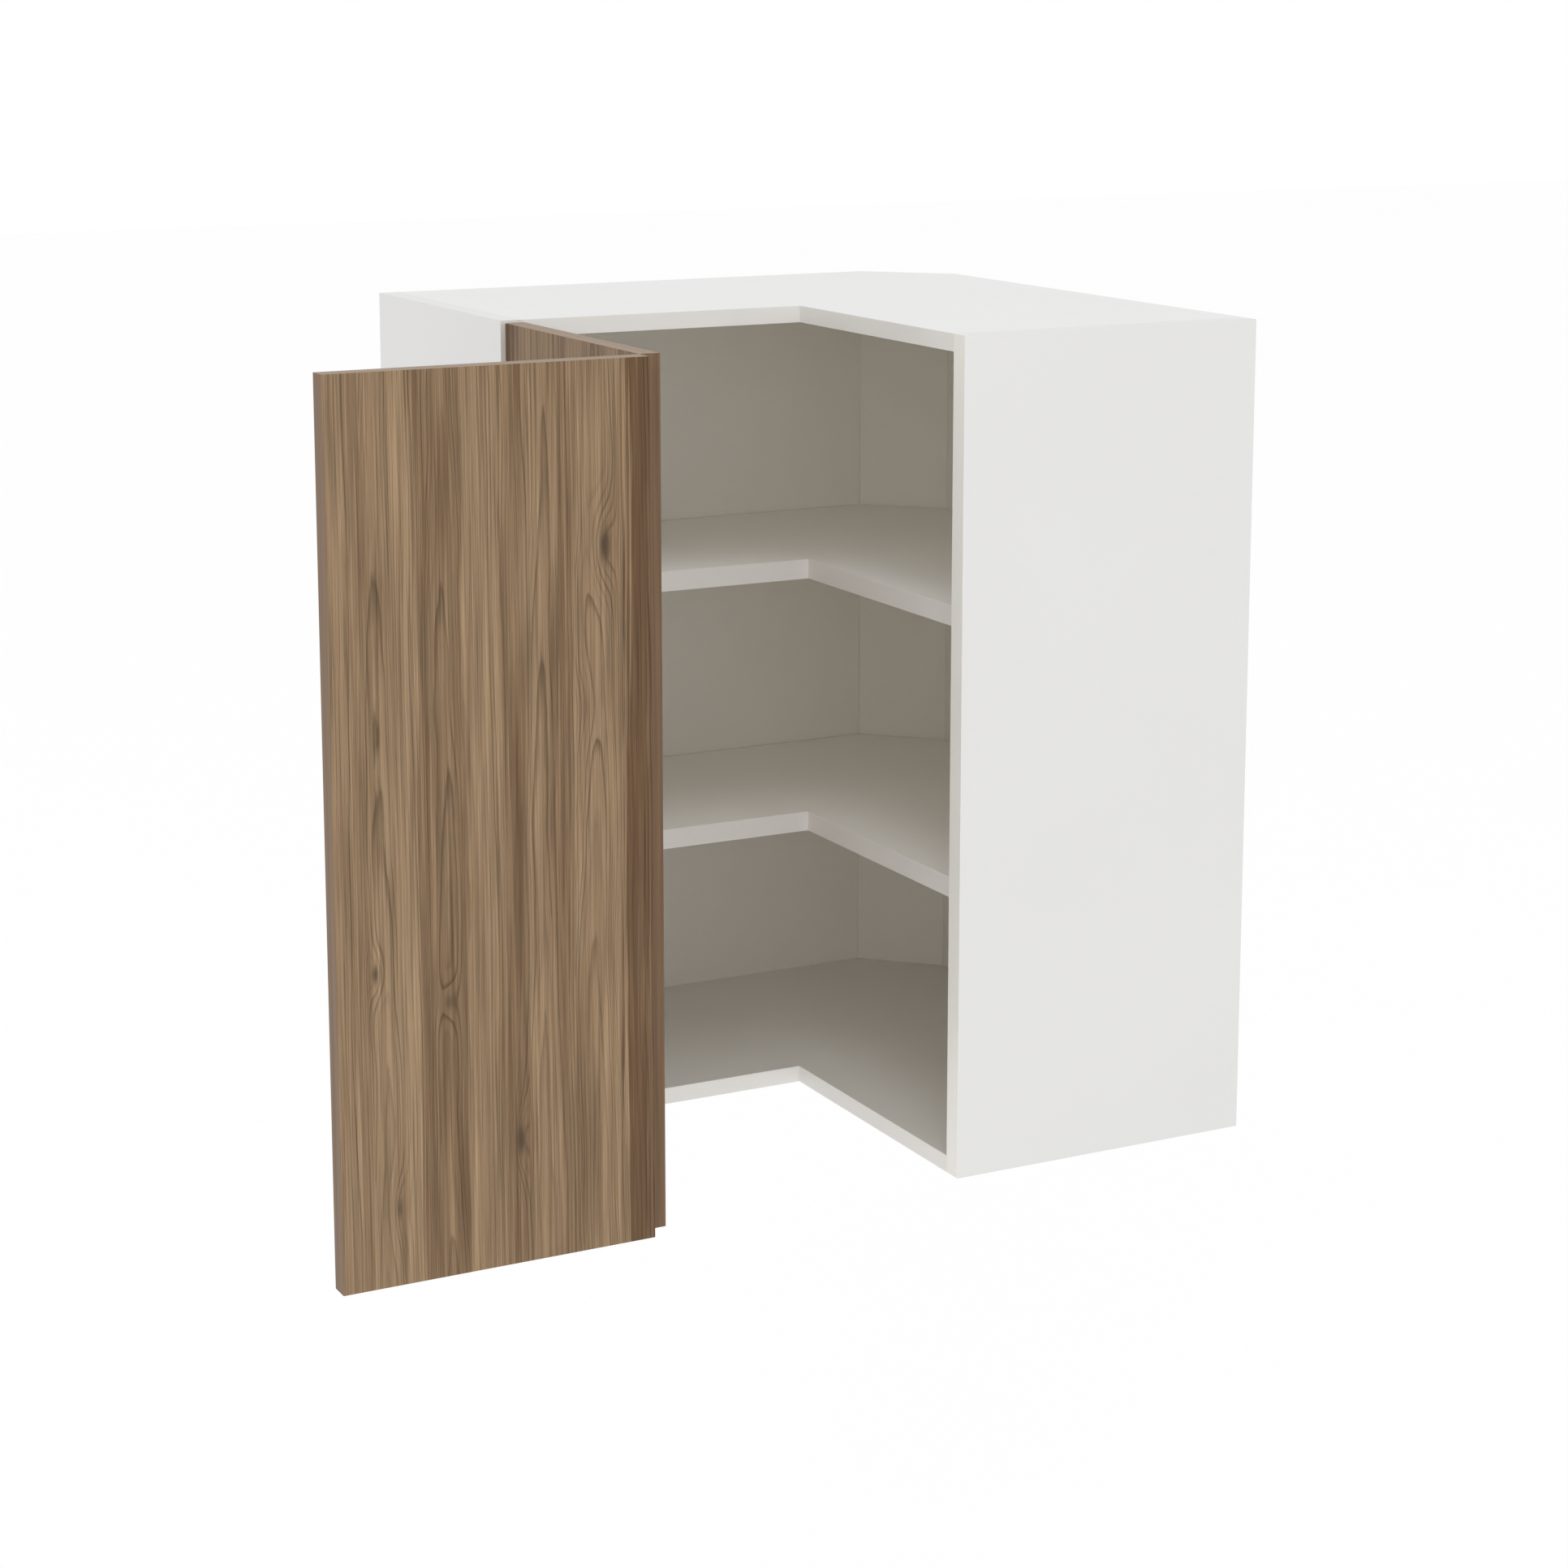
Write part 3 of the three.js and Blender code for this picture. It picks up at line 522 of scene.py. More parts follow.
@dataclass(frozen=True)
class Walnut:
    """Walnut veneer: strips of straight and cathedral grain, with fibres, pores and knots."""

    name: str
    across: Axis
    origin: float
    width: float
    lift: float = 0.0
    mirrored: bool = False
    light: Colour = (0.355, 0.240, 0.138)
    dark: Colour = (0.134, 0.072, 0.031)
    line: Colour = (0.28, 0.255, 0.21)
    core: Colour = (0.085, 0.052, 0.028)
    core_depth: float = 0.8
    line_depth: float = 0.85
    core_line: float = 0.6
    fibre_shade: tuple[float, float] = (0.42, 1.66)
    pore_shade: float = 0.16
    pore_range: tuple[float, float] = (0.62, 0.75)
    vein_shade: float = 0.34
    vein_range: tuple[float, float] = (0.52, 0.66)
    roughness: tuple[float, float] = (0.42, 0.54)
    line_roughness: float = 0.08
    relief_depth: float = 0.00012
    pore_relief: float = 0.7

    def make(self) -> Material:
        """Builds the material.

        Returns:
            The finished material.
        """
        desk = Desk(self.name)
        parts = desk.add("ShaderNodeSeparateXYZ", {0: desk.place}).outputs
        share = desk.math("DIVIDE", desk.math("SUBTRACT", parts[self.across.value], self.origin), self.width)
        if self.mirrored:
            share = desk.math("SUBTRACT", 1.0, share)
        up = desk.math("ADD", parts["Z"], self.lift)
        on_face = {0: desk.math("MULTIPLY", share, self.width), 2: up}
        flat = desk.add("ShaderNodeCombineXYZ", on_face).outputs[0]
        share = desk.math("ADD", share, desk.swayed(STRIP_SWAY, flat))
        rings, core = self._rings(desk, share, up, flat)
        late = desk.math("MAXIMUM", self._late_wood(desk, rings), desk.math("MULTIPLY", core, self.core_line))
        fibre = desk.drawn(FIBRES, flat)
        pore = desk.rise(desk.drawn(PORES, flat), *self.pore_range)
        wood = desk.ramp(self._tone(desk, share, flat), [(0.0, self.dark), (1.0, self.light)])
        wood = desk.mix(desk.math("MULTIPLY", late, self.line_depth), wood, self.line, "MULTIPLY")
        shade = self._shade(desk, flat, fibre, pore)
        wood = desk.add("ShaderNodeVectorMath", {0: wood, 3: shade}, operation="SCALE").outputs[0]
        rough = desk.math("MULTIPLY_ADD", late, self.line_roughness, desk.spread(fibre, *self.roughness))
        height = desk.math("SUBTRACT", fibre, desk.math("MULTIPLY", pore, self.pore_relief))
        return desk.finish(
            Base_Color=desk.mix(desk.math("MULTIPLY", core, self.core_depth), wood, self.core),
            Roughness=rough,
            Normal=desk.relief(height, self.relief_depth, 0.5),
            Specular_IOR_Level=0.3,
        )

    def _tone(self, desk: Desk, share: Socket, flat: Socket) -> Socket:
        """Gives each strip its tone, with frayed steps, long streaks and broad patches.

        Args:
            desk: the material's desk.
            share: the place across the leaf, from 0 to 1.
            flat: the place on the face.

        Returns:
            The tone, from 0 for dark to 1 for light.
        """
        frayed = desk.math("ADD", share, desk.swayed(FRAY, flat))
        stops = []
        for strip, following in zip(STRIPS, (*STRIPS[1:], LAST_STRIP_END)):
            tone = (strip.tone,) * 3
            stops += [(strip.start + STRIP_STEP, tone), (following.start - STRIP_STEP, tone)]
        own = desk.add("ShaderNodeSeparateColor", {0: desk.ramp(frayed, stops)}).outputs[0]
        streaked = desk.math("ADD", own, desk.swayed(STREAKS, flat))
        return desk.math("ADD", streaked, desk.swayed(PATCHES, flat))

    def _shade(self, desk: Desk, flat: Socket, fibre: Socket, pore: Socket) -> Socket:
        """Shades the wood with its fibres, and darkens it in its pores and fine veins.

        Args:
            desk: the material's desk.
            flat: the place on the face.
            fibre: the fibres.
            pore: how much of a pore there is.

        Returns:
            The shade, which the wood's colour is scaled by.
        """
        pores = desk.math("MULTIPLY", pore, self.pore_shade)
        shade = desk.math("SUBTRACT", desk.spread(fibre, *self.fibre_shade), pores)
        vein = desk.rise(desk.drawn(VEINS, flat), *self.vein_range)
        return desk.math("SUBTRACT", shade, desk.math("MULTIPLY", vein, self.vein_shade))

    def _rings(self, desk: Desk, share: Socket, up: Socket, flat: Socket) -> tuple[Socket, Socket]:
        """Counts growth rings over the face: nested arches in a figured strip, else straight lines.

        Args:
            desk: the material's desk.
            share: the place across the leaf, from 0 to 1.
            up: the height.
            flat: the place on the face.

        Returns:
            The ring count, and how much of a knot's core there is.
        """
        looks = [
            (strip.start, (strip.centre, strip.figure, (place * SEED_STEP) % 1.0))
            for place, strip in enumerate(STRIPS)
        ]
        strip = desk.add("ShaderNodeSeparateColor", {0: desk.ramp(share, looks, "CONSTANT")})
        centre, figure, seed = strip.outputs[:3]
        local = desk.math("MULTIPLY", desk.math("SUBTRACT", share, centre), self.width)
        apart = desk.math("MULTIPLY_ADD", seed, SEED_SPREAD, 1.0)
        own = desk.add("ShaderNodeCombineXYZ", {1: apart}).outputs[0]
        place = desk.add("ShaderNodeVectorMath", {0: flat, 1: own}, operation="ADD").outputs[0]
        swayed = desk.math("ADD", local, desk.swayed(ARCH_SWAY, place))
        climb = desk.math("MULTIPLY_ADD", up, ARCHES_TO_METRE, desk.swayed(ARCH_DRIFT, place))
        arches = desk.math("MULTIPLY_ADD", desk.math("MULTIPLY", swayed, swayed), ARCH_TIGHTNESS, climb)
        lines = desk.math("MULTIPLY_ADD", local, LINES_TO_METRE, desk.swayed(LINE_BEND, place))
        rings = desk.add("ShaderNodeMix", {0: figure, 2: lines, 3: arches}, data_type="FLOAT").outputs[0]
        core: object = 0.0
        for knot in KNOTS:
            across = desk.math("SUBTRACT", share, knot.across)
            wide = desk.math("MULTIPLY", across, self.width / knot.half_width)
            tall = desk.math("MULTIPLY", desk.math("SUBTRACT", up, knot.up), 1.0 / knot.half_height)
            far = desk.math("MULTIPLY_ADD", wide, wide, desk.math("MULTIPLY", tall, tall))
            near = desk.math("EXPONENT", desk.math("MULTIPLY", far, KNOT_PULL))
            heart = desk.math("EXPONENT", desk.math("MULTIPLY", far, KNOT_CORE))
            rings = desk.math("MULTIPLY_ADD", near, knot.bend, rings)
            core = desk.math("MAXIMUM", core, desk.math("MULTIPLY", heart, knot.core))
        ragged = desk.drawn(RAGGED, flat)
        core = desk.math("MULTIPLY", core, desk.spread(ragged, *CORE_RAGGED))
        return desk.math("MULTIPLY_ADD", ragged, RING_RAGGED, rings), core

    def _late_wood(self, desk: Desk, rings: Socket) -> Socket:
        """Darkens the late part of each ring, each ring by its own amount.

        Args:
            desk: the material's desk.
            rings: the ring count.

        Returns:
            How much of a dark line there is.
        """
        stops = [(at, (tone,) * 3) for at, tone in RING_STOPS]
        late = desk.ramp(desk.math("FRACT", rings), stops)
        number = desk.math("FLOOR", rings)
        own = desk.add("ShaderNodeTexWhiteNoise", {"W": number}, noise_dimensions="1D").outputs[0]
        return desk.math("MULTIPLY", late, desk.spread(desk.math("POWER", own, RING_POWER), *RING_SHARE))


@dataclass(frozen=True)
class WalnutEdge:
    """A walnut edge band, its grain running along the edge."""

    name: str
    grain: Axis
    light: Colour = (0.36, 0.265, 0.18)
    dark: Colour = (0.22, 0.145, 0.092)
    fibres: tuple[float, float] = (1300.0, 8.0)
    streaks: tuple[float, float] = (260.0, 2.5)

    def make(self) -> Material:
        """Builds the material.

        Returns:
            The finished material.
        """
        desk = Desk(self.name)
        fibre = desk.noise(desk.stretched(self._scales(*self.fibres)), 1.0, 3.0, 0.6)
        streak = desk.noise(desk.stretched(self._scales(*self.streaks)), 1.0, 3.0)
        return desk.finish(
            Base_Color=desk.ramp(desk.blend(fibre, streak, 0.5), [(0.3, self.dark), (0.68, self.light)]),
            Roughness=desk.spread(fibre, 0.42, 0.55),
            Normal=desk.relief(fibre, 0.0001, 0.5),
            Specular_IOR_Level=0.3,
        )

    def _scales(self, across: float, along: float) -> list[float]:
        """Returns the scales of a noise that is drawn out along the edge."""
        return [along if axis is self.grain else across for axis in Axis]


@dataclass(frozen=True)
class PlatedMetal:
    """Plated steel or die-cast zinc: metallic, finely scratched one way, a little mottled."""

    name: str
    colour: Colour
    roughness: float
    scratches: tuple[float, float, float] = (2400.0, 2400.0, 90.0)
    scratch_depth: float = 0.00002
    scratch_roughness: float = 0.14
    mottles_to_metre: float = 160.0

    def make(self) -> Material:
        """Builds the material.

        Returns:
            The finished material.
        """
        desk = Desk(self.name)
        scratch = desk.noise(desk.stretched(self.scratches), 1.0, 3.0, 0.6)
        mottle = desk.noise(desk.place, self.mottles_to_metre, 3.0)
        even = desk.spread(mottle, self.roughness - 0.08, self.roughness + 0.04)
        return desk.finish(
            Base_Color=desk.mix(mottle, toned(self.colour, 0.86), self.colour),
            Metallic=1.0,
            Roughness=desk.math("MULTIPLY_ADD", scratch, self.scratch_roughness, even),
            Normal=desk.relief(scratch, self.scratch_depth, 0.4),
        )


@dataclass(frozen=True)
class MouldedPlastic:
    """Moulded plastic with a fine spark-eroded grain."""

    name: str
    colour: Colour
    grains_to_metre: float = 2600.0
    grain_depth: float = 0.00004
    clouds_to_metre: float = 40.0

    def make(self) -> Material:
        """Builds the material.

        Returns:
            The finished material.
        """
        desk = Desk(self.name)
        grain = desk.noise(desk.place, self.grains_to_metre, 2.0)
        cloud = desk.noise(desk.place, self.clouds_to_metre, 2.0)
        return desk.finish(
            Base_Color=desk.mix(cloud, toned(self.colour, 0.93), self.colour),
            Roughness=desk.spread(grain, 0.42, 0.58),
            Normal=desk.relief(grain, self.grain_depth, 0.5),
            Specular_IOR_Level=0.4,
        )


# ---------------------------------------------------------------- shapes


@dataclass
class Piece:
    """A frame node rebuilt with eased edges: its shape is the node's own, its looks are new."""

    node: str
    materials: Sequence[Material]
    ease: float
    rule: Rule = field(default=lambda middle, normal: 0)

    def make(self) -> None:
        """Builds the piece, rides it on the node's body and lets it stand for the node."""
        shape = bmesh.new()
        shape.from_mesh(frame["nodes"][self.node].data)
        bmesh.ops.remove_doubles(shape, verts=shape.verts, dist=MERGE)
        bmesh.ops.dissolve_limit(shape, angle_limit=FLAT_ANGLE, verts=shape.verts, edges=shape.edges)
        sharp = [e for e in shape.edges if len(e.link_faces) == 2 and e.calc_face_angle(0.0) > EDGE_ANGLE]
        bmesh.ops.bevel(
            shape, geom=sharp, offset=self.ease, offset_type="OFFSET",
            segments=1, profile=0.5, clamp_overlap=True,
        )
        for face in shape.faces:
            face.material_index = self.rule(face.calc_center_median(), face.normal)
            face.smooth = True
        mesh = bpy.data.meshes.new(f"{self.node}_eased")
        shape.to_mesh(mesh)
        shape.free()
        mesh.set_sharp_from_angle(angle=SHARP_ANGLE)
        for material in self.materials:
            mesh.materials.append(material)
        piece = bpy.data.objects.new(mesh.name, mesh)
        bpy.context.scene.collection.objects.link(piece)
        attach(piece, body_of_node(self.node))
        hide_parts(self.node)
        LOG.info("%s: %d faces", piece.name, len(mesh.polygons))


class Growth(Wiring):
    """A Geometry Nodes tree and the plain meshes that are grown with it."""

    def __init__(self, name: str) -> None:
        """Starts an empty tree.

        Args:
            name: the tree's name.
        """
        super().__init__(bpy.data.node_groups.new(name, "GeometryNodeTree"))
        self.sockets: dict[str, str] = {}
        self.source = self.tree.nodes.new("NodeGroupInput")
        for way in ("INPUT", "OUTPUT"):
            self.tree.interface.new_socket(name="Geometry", in_out=way, socket_type="NodeSocketGeometry")

    def length(self, name: str, value: float) -> Socket:
        """Adds a named length with its first value, and returns the socket to link from."""
        return self.input(name, "NodeSocketFloat", value)

    def input(self, name: str, kind: str, value: object = None) -> Socket:
        """Adds a named input.

        Args:
            name: the input's name.
            kind: its socket type.
            value: its first value, if it has one.

        Returns:
            The socket to link from.
        """
        item = self.tree.interface.new_socket(name=name, in_out="INPUT", socket_type=kind)
        if value is not None:
            item.default_value = value
        self.sockets[name] = item.identifier
        return self.source.outputs[name]

    def close(self, geometry: Socket) -> None:
        """Ends the tree in Realize Instances and Set Material.

        Args:
            geometry: what the tree has grown.
        """
        real = self.add("GeometryNodeRealizeInstances", {0: geometry})
        material = self.input("Material", "NodeSocketMaterial")
        dressed = self.add("GeometryNodeSetMaterial", {0: real.outputs[0], "Material": material})
        self.add("NodeGroupOutput", {0: dressed.outputs[0]})

    def grow(self, name: str, seed: bpy.types.Mesh, body: Body, slot: str, **values: object) -> None:
        """Runs the tree on a seed mesh and keeps the result as a plain mesh.

        Args:
            name: the piece's name.
            seed: the points or the path that it grows on.
            body: the body that it rides on.
            slot: the record's finish slot; not used.
            **values: the tree's inputs, by name.
        """
        piece = bpy.data.objects.new(name, seed)
        bpy.context.scene.collection.objects.link(piece)
        modifier = piece.modifiers.new("grow", "NODES")
        modifier.node_group = self.tree
        for key, value in values.items():
            modifier[self.sockets[key]] = value
        depsgraph = bpy.context.evaluated_depsgraph_get()
        grown = bpy.data.meshes.new_from_object(piece.evaluated_get(depsgraph))
        piece.modifiers.remove(modifier)
        piece.data = grown
        grown.name = name
        grown.set_sharp_from_angle(angle=SHARP_ANGLE)
        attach(piece, body.value)
        LOG.info("%s: %d faces on %s", name, len(grown.polygons), body.value)


def band_growth() -> Growth:
    """Builds the tree that lays an edge band along a path.

    Returns:
        The tree, with the inputs Height, Thickness, Corner and Material.
    """
    growth = Growth("edge_band")
    height = growth.length("Height", 0.019)
    thickness = growth.length("Thickness", 0.0005)
    corner = growth.length("Corner", 0.00015)
    path = growth.add("GeometryNodeMeshToCurve", {0: growth.source.outputs[0]})
    upright = growth.add("GeometryNodeSetCurveNormal", {0: path.outputs[0]}, mode="Z_UP")
    section = growth.add("GeometryNodeCurvePrimitiveQuadrilateral", {"Width": thickness, "Height": height})
    eased = growth.add("GeometryNodeFilletCurve", {0: section.outputs[0], "Radius": corner})
    sweep = growth.add(
        "GeometryNodeCurveToMesh",
        {"Curve": upright.outputs[0], "Profile Curve": eased.outputs[0], "Fill Caps": True},
    )
    growth.close(sweep.outputs[0])
    return growth


HEAD_SIDES = 24
HEAD_RINGS = 4
CROSS_LENGTH = 2.0                # of the recess, which is half as long
CROSS_WIDTH = 0.26                # of the recess
CROSS_HEIGHT = 1.5                # of the head's height


def screw_growth() -> Growth:
    """Builds the tree that sets cross-recessed screw heads on points.

    Each point has the attributes facing, the way its head looks, and turn, how far it was driven.

    Returns:
        The tree, with the inputs Radius, Height, Dome, Recess and Material.
    """
    growth = Growth("screws")
    radius = growth.length("Radius", 0.0035)
    height = growth.length("Height", 0.0008)
    dome = growth.length("Dome", 0.0005)
    recess = growth.length("Recess", 0.0021)
    disc = growth.add(
        "GeometryNodeMeshCylinder",
        {
            "Vertices": HEAD_SIDES, "Side Segments": 1, "Fill Segments": HEAD_RINGS,
            "Radius": radius, "Depth": height,
        },
        fill_type="TRIANGLE_FAN",
    )
    place = growth.add("GeometryNodeInputPosition").outputs[0]
    parts = growth.add("ShaderNodeSeparateXYZ", {0: place}).outputs
    squares = [growth.math("POWER", part, 2.0) for part in parts[:2]]
    outwards = growth.math("DIVIDE", growth.math("ADD", *squares), growth.math("POWER", radius, 2.0))
    domed = growth.math("MULTIPLY", growth.math("SUBTRACT", 1.0, outwards), dome)
    on_top = growth.math("GREATER_THAN", parts[2], 0.0)
    lift = growth.add("ShaderNodeCombineXYZ", {2: growth.math("MULTIPLY", domed, on_top)})
    head = growth.add("GeometryNodeSetPosition", {0: disc.outputs[0], "Offset": lift.outputs[0]})
    cut = growth.add("GeometryNodeMeshBoolean", {0: head.outputs[0]}, operation="DIFFERENCE", solver="EXACT")
    long, narrow = growth.math("MULTIPLY", recess, CROSS_LENGTH), growth.math("MULTIPLY", recess, CROSS_WIDTH)
    tall = growth.math("MULTIPLY", height, CROSS_HEIGHT)
    rise = growth.math("ADD", growth.math("MULTIPLY", height, CROSS_HEIGHT / 2), dome)
    for sides in ((long, narrow), (narrow, long)):
        size = growth.add("ShaderNodeCombineXYZ", {0: sides[0], 1: sides[1], 2: tall})
        cube = growth.add("GeometryNodeMeshCube", {"Size": size.outputs[0]})
        up = growth.add("ShaderNodeCombineXYZ", {2: rise})
        arm = growth.add("GeometryNodeTransform", {0: cube.outputs[0], "Translation": up.outputs[0]})
        growth.feed(cut.inputs[1], arm.outputs[0])
    facing = growth.add("GeometryNodeInputNamedAttribute", {"Name": "facing"}, data_type="FLOAT_VECTOR")
    turn = growth.add("GeometryNodeInputNamedAttribute", {"Name": "turn"}, data_type="FLOAT")
    aligned = growth.add("FunctionNodeAlignRotationToVector", {"Vector": facing.outputs[0]}, axis="Z")
    twist = {"Axis": (0.0, 0.0, 1.0), "Angle": turn.outputs[0]}
    driven = growth.add("FunctionNodeAxisAngleToRotation", twist)
    pose = growth.add(
        "FunctionNodeRotateRotation", {0: aligned.outputs[0], 1: driven.outputs[0]}, rotation_space="LOCAL"
    )
    heads = growth.add(
        "GeometryNodeInstanceOnPoints",
        {"Points": growth.source.outputs[0], "Instance": cut.outputs[0], "Rotation": pose.outputs[0]},
    )
    growth.close(heads.outputs[0])
    return growth


def path_mesh(name: str, points: Sequence[Vector]) -> bpy.types.Mesh:
    """Makes an open path of straight edges.

    Args:
        name: the mesh's name.
        points: its corners in order.

    Returns:
        The mesh.
    """
    mesh = bpy.data.meshes.new(name)
    mesh.from_pydata([tuple(point) for point in points], [(i, i + 1) for i in range(len(points) - 1)], [])
    return mesh


@dataclass(frozen=True)
class ScrewSeat:
    """Where a screw head sits: its middle on the face, the way it looks, and its turn."""

    place: tuple[float, float, float]
    facing: tuple[float, float, float]
    turn: float


def seat_mesh(name: str, seats: Sequence[ScrewSeat]) -> bpy.types.Mesh:
    """Makes the points that screws are set on.

    Args:
        name: the mesh's name.
        seats: the screws' seats.

    Returns:
        A mesh of loose points with the attributes facing and turn.
    """
    mesh = bpy.data.meshes.new(name)
    mesh.from_pydata([seat.place for seat in seats], [], [])
    facing = mesh.attributes.new("facing", "FLOAT_VECTOR", "POINT")
    facing.data.foreach_set("vector", [part for seat in seats for part in seat.facing])
    turn = mesh.attributes.new("turn", "FLOAT", "POINT")
    turn.data.foreach_set("value", [seat.turn for seat in seats])
    return mesh


# ---------------------------------------------------------------- sub-assemblies


class Face(IntEnum):
    """The dressings of a board, as their places in its list of materials."""

    OUTER = 0
    INNER = 1
    RAW = 2


@dataclass
class Carcass:
    """The white L-shaped case: end panels, decks, backs, shelves, bands and fittings."""

    board_ease: float = 0.0003
    back_ease: float = 0.0002
    metal_ease: float = 0.0003
    hook_ease: float = 0.0004
    plastic_ease: float = 0.0006
    wall_reach: float = 0.001
    band_thickness: float = 0.0006
    band_proud: float = 0.0003
    band_inset: float = 0.0002
    band_end_gap: float = 0.0001
    band_corner: float = 0.00015
    white: Colour = (0.812, 0.81, 0.805)
    # painted shade: the end panels' outer faces are a darker copy of the white melamine, for the lesser light
    # on upright faces
    side_white_painted_shade: Colour = (0.774, 0.77, 0.76)
    # painted light: the faces that look in are a lighter, warmer copy of the white melamine, standing in for
    # fill light and warm bounce in the case
    inside_as_lit: Colour = (0.852, 0.832, 0.787)
    # painted shade: the bottom deck's inner face is a darker copy, for the dimmer lowest compartment
    bottom_inside_painted_shade: Colour = (0.745, 0.725, 0.685)
    # painted light: the shelves are a lighter, warmer copy of the white melamine, lifting their shaded tops
    shelf_white: Colour = (0.885, 0.864, 0.82)
    inner_roughness: float = 0.5
    band: Colour = (0.86, 0.845, 0.81)
    # painted light: a paler copy of the same edge band on the far panel's front edge
    far_band_painted_light: Colour = (0.93, 0.92, 0.87)
    # painted shade: a darker, warmer copy of the same edge band on the shelves' front edges, inside the case
    shelf_band_painted_shade: Colour = (0.84, 0.815, 0.78)
    plastic: Colour = (0.72, 0.715, 0.7)

    def build(self, bands: Growth, metal: Material, zinc: Material) -> None:
        """Builds every piece of the case.

        Args:
            bands: the tree that lays edge bands.
            metal: the plated finish.
            zinc: the die-cast finish.
        """
        # painted light: the inner melamine is lighter and warmer than the outer white, in place of fill light
        # and warm bounce
        inner = Melamine("inner_melamine_painted_light", self.inside_as_lit, self.inner_roughness).make()
        self._boards(inner)
        self._backs(inner)
        self._bands(bands)
        self._fittings(metal, zinc)

    def _boards(self, inner: Material) -> None:
        """Builds the end panels, the decks and the shelves.

        Args:
            inner: the finish of the faces that look into the case, a lighter, warmer copy of the white
                melamine with painted light.
        """
        outer = Melamine("white_melamine", self.white).make()
        # painted shade: a darker copy of the white melamine for the end panels' upright outer faces
        side = Melamine("side_melamine_painted_shade", self.side_white_painted_shade).make()
        # painted shade: a darker copy of the inner melamine on the bottom deck's upper face
        bottom = Melamine("bottom_melamine_painted_shade", self.bottom_inside_painted_shade, self.inner_roughness).make()
        # painted light: a lighter, warmer copy of the white melamine on the shelves
        shelf = Melamine("shelf_melamine_painted_light", self.shelf_white, self.inner_roughness).make()
        raw = RawChipboard().make()
        boards: dict[str, tuple[Material, Material, Rule]] = {
            "hinge_side_panel": (side, inner, self._backed(lambda middle, normal: normal.y > SQUARE)),
            "far_side_panel": (
                side, inner, self._backed(lambda middle, normal: normal.x < -SQUARE and middle.x > 0.0)
            ),
            "top_panel": (outer, inner, self._backed(lambda middle, normal: normal.z < -SQUARE)),
            "bottom_panel": (outer, bottom, self._backed(lambda middle, normal: normal.z > SQUARE)),
            "shelf_1": (outer, shelf, lambda middle, normal: Face.INNER),
            "shelf_2": (outer, shelf, lambda middle, normal: Face.INNER),
        }
        # the inside finishes carry painted light (inner faces, shelves) and painted shade (bottom deck)
        for node, (outside, inside_as_lit, rule) in boards.items():
            Piece(node, [outside, inside_as_lit, raw], self.board_ease, rule).make()

    def _backed(self, looks_in: Callable[[Vector, Vector], bool]) -> Rule:
        """Makes the rule of a board that meets the walls.

        Args:
            looks_in: tells whether a face looks into the case.

        Returns:
            The rule: raw at a wall and across the corner, inner where a face looks in, else outer.
        """
        low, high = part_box("top_panel")
        wall_x, wall_y = low.x + self.wall_reach, high.y - self.wall_reach

        def rule(middle: Vector, normal: Vector) -> int:
            """Returns a face's dressing."""
            at_wall = (normal.x < -SQUARE and middle.x < wall_x) or (normal.y > SQUARE and middle.y > wall_y)
            at_corner = normal.x < -SLANTED and normal.y > SLANTED and abs(normal.z) < 1 - SQUARE
            if at_wall or at_corner:
                return Face.RAW
            return Face.INNER if looks_in(middle, normal) else Face.OUTER

        return rule

    def _backs(self, inner: Material) -> None:
        """Builds the three back panels, pale on the room side.

        Args:
            inner: the finish of the faces that look into the case, a lighter, warmer copy of the white
                melamine with painted light.
        """
        rear = BackBoard().make()

        def rule(middle: Vector, normal: Vector) -> int:
            """Returns 1 for the rear face, which looks at the walls, else 0."""
            return 1 if normal.x - normal.y < -SQUARE else 0

        for node in ("left_back_panel", "corner_back_panel", "right_back_panel"):
            Piece(node, [inner, rear], self.back_ease, rule).make()

    def _bands(self, bands: Growth) -> None:
        """Lays the edge bands on every front edge.

        Args:
            bands: the tree that lays edge bands.
        """
        deck_band = Banding("white_band", self.band).make()
        # painted shade: the shelves' band is a darker, warmer copy of the deck band
        shelf_band_painted_shade = Banding("shelf_band_painted_shade", self.shelf_band_painted_shade).make()
        # painted light: the far panel's band is a paler copy of the deck band
        far_band_painted_light = Banding("far_band_painted_light", self.far_band_painted_light).make()
        out = self.band_proud - self.band_thickness / 2
        for node in ("top_panel", "bottom_panel", "shelf_1", "shelf_2"):
            low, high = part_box(node)
            front_x, front_y = self._front(node)
            level = (low.z + high.z) / 2
            path = [
                Vector((front_x + out, low.y + self.band_end_gap, level)),
                Vector((front_x + out, front_y - out, level)),
                Vector((high.x - self.band_end_gap, front_y - out, level)),
            ]
            material = shelf_band_painted_shade if node.startswith("shelf") else deck_band
            self._lay(bands, node, path, high.z - low.z - self.band_inset, material)
        half_inset = self.band_inset / 2
        low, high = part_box("hinge_side_panel")
        ends = [(high.x + out, low.y + half_inset), (high.x + out, high.y - half_inset)]
        self._lay_upright(bands, "hinge_side_panel", ends, deck_band)
        low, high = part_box("far_side_panel")
        ends = [(low.x + half_inset, low.y - out), (high.x - half_inset, low.y - out)]
        self._lay_upright(bands, "far_side_panel", ends, far_band_painted_light)

    def _front(self, node: str) -> tuple[float, float]:
        """Finds the planes of an L-shaped board's two front edges.

        Args:
            node: the board's name.

        Returns:
            The X of the one that looks along X, and the Y of the other.
        """
        low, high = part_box(node)
        points = points_of_node(node)
        front_x = max(point.x for point in points if point.y < low.y + NEAR)
        front_y = min(point.y for point in points if point.x > high.x - NEAR)
        return front_x, front_y

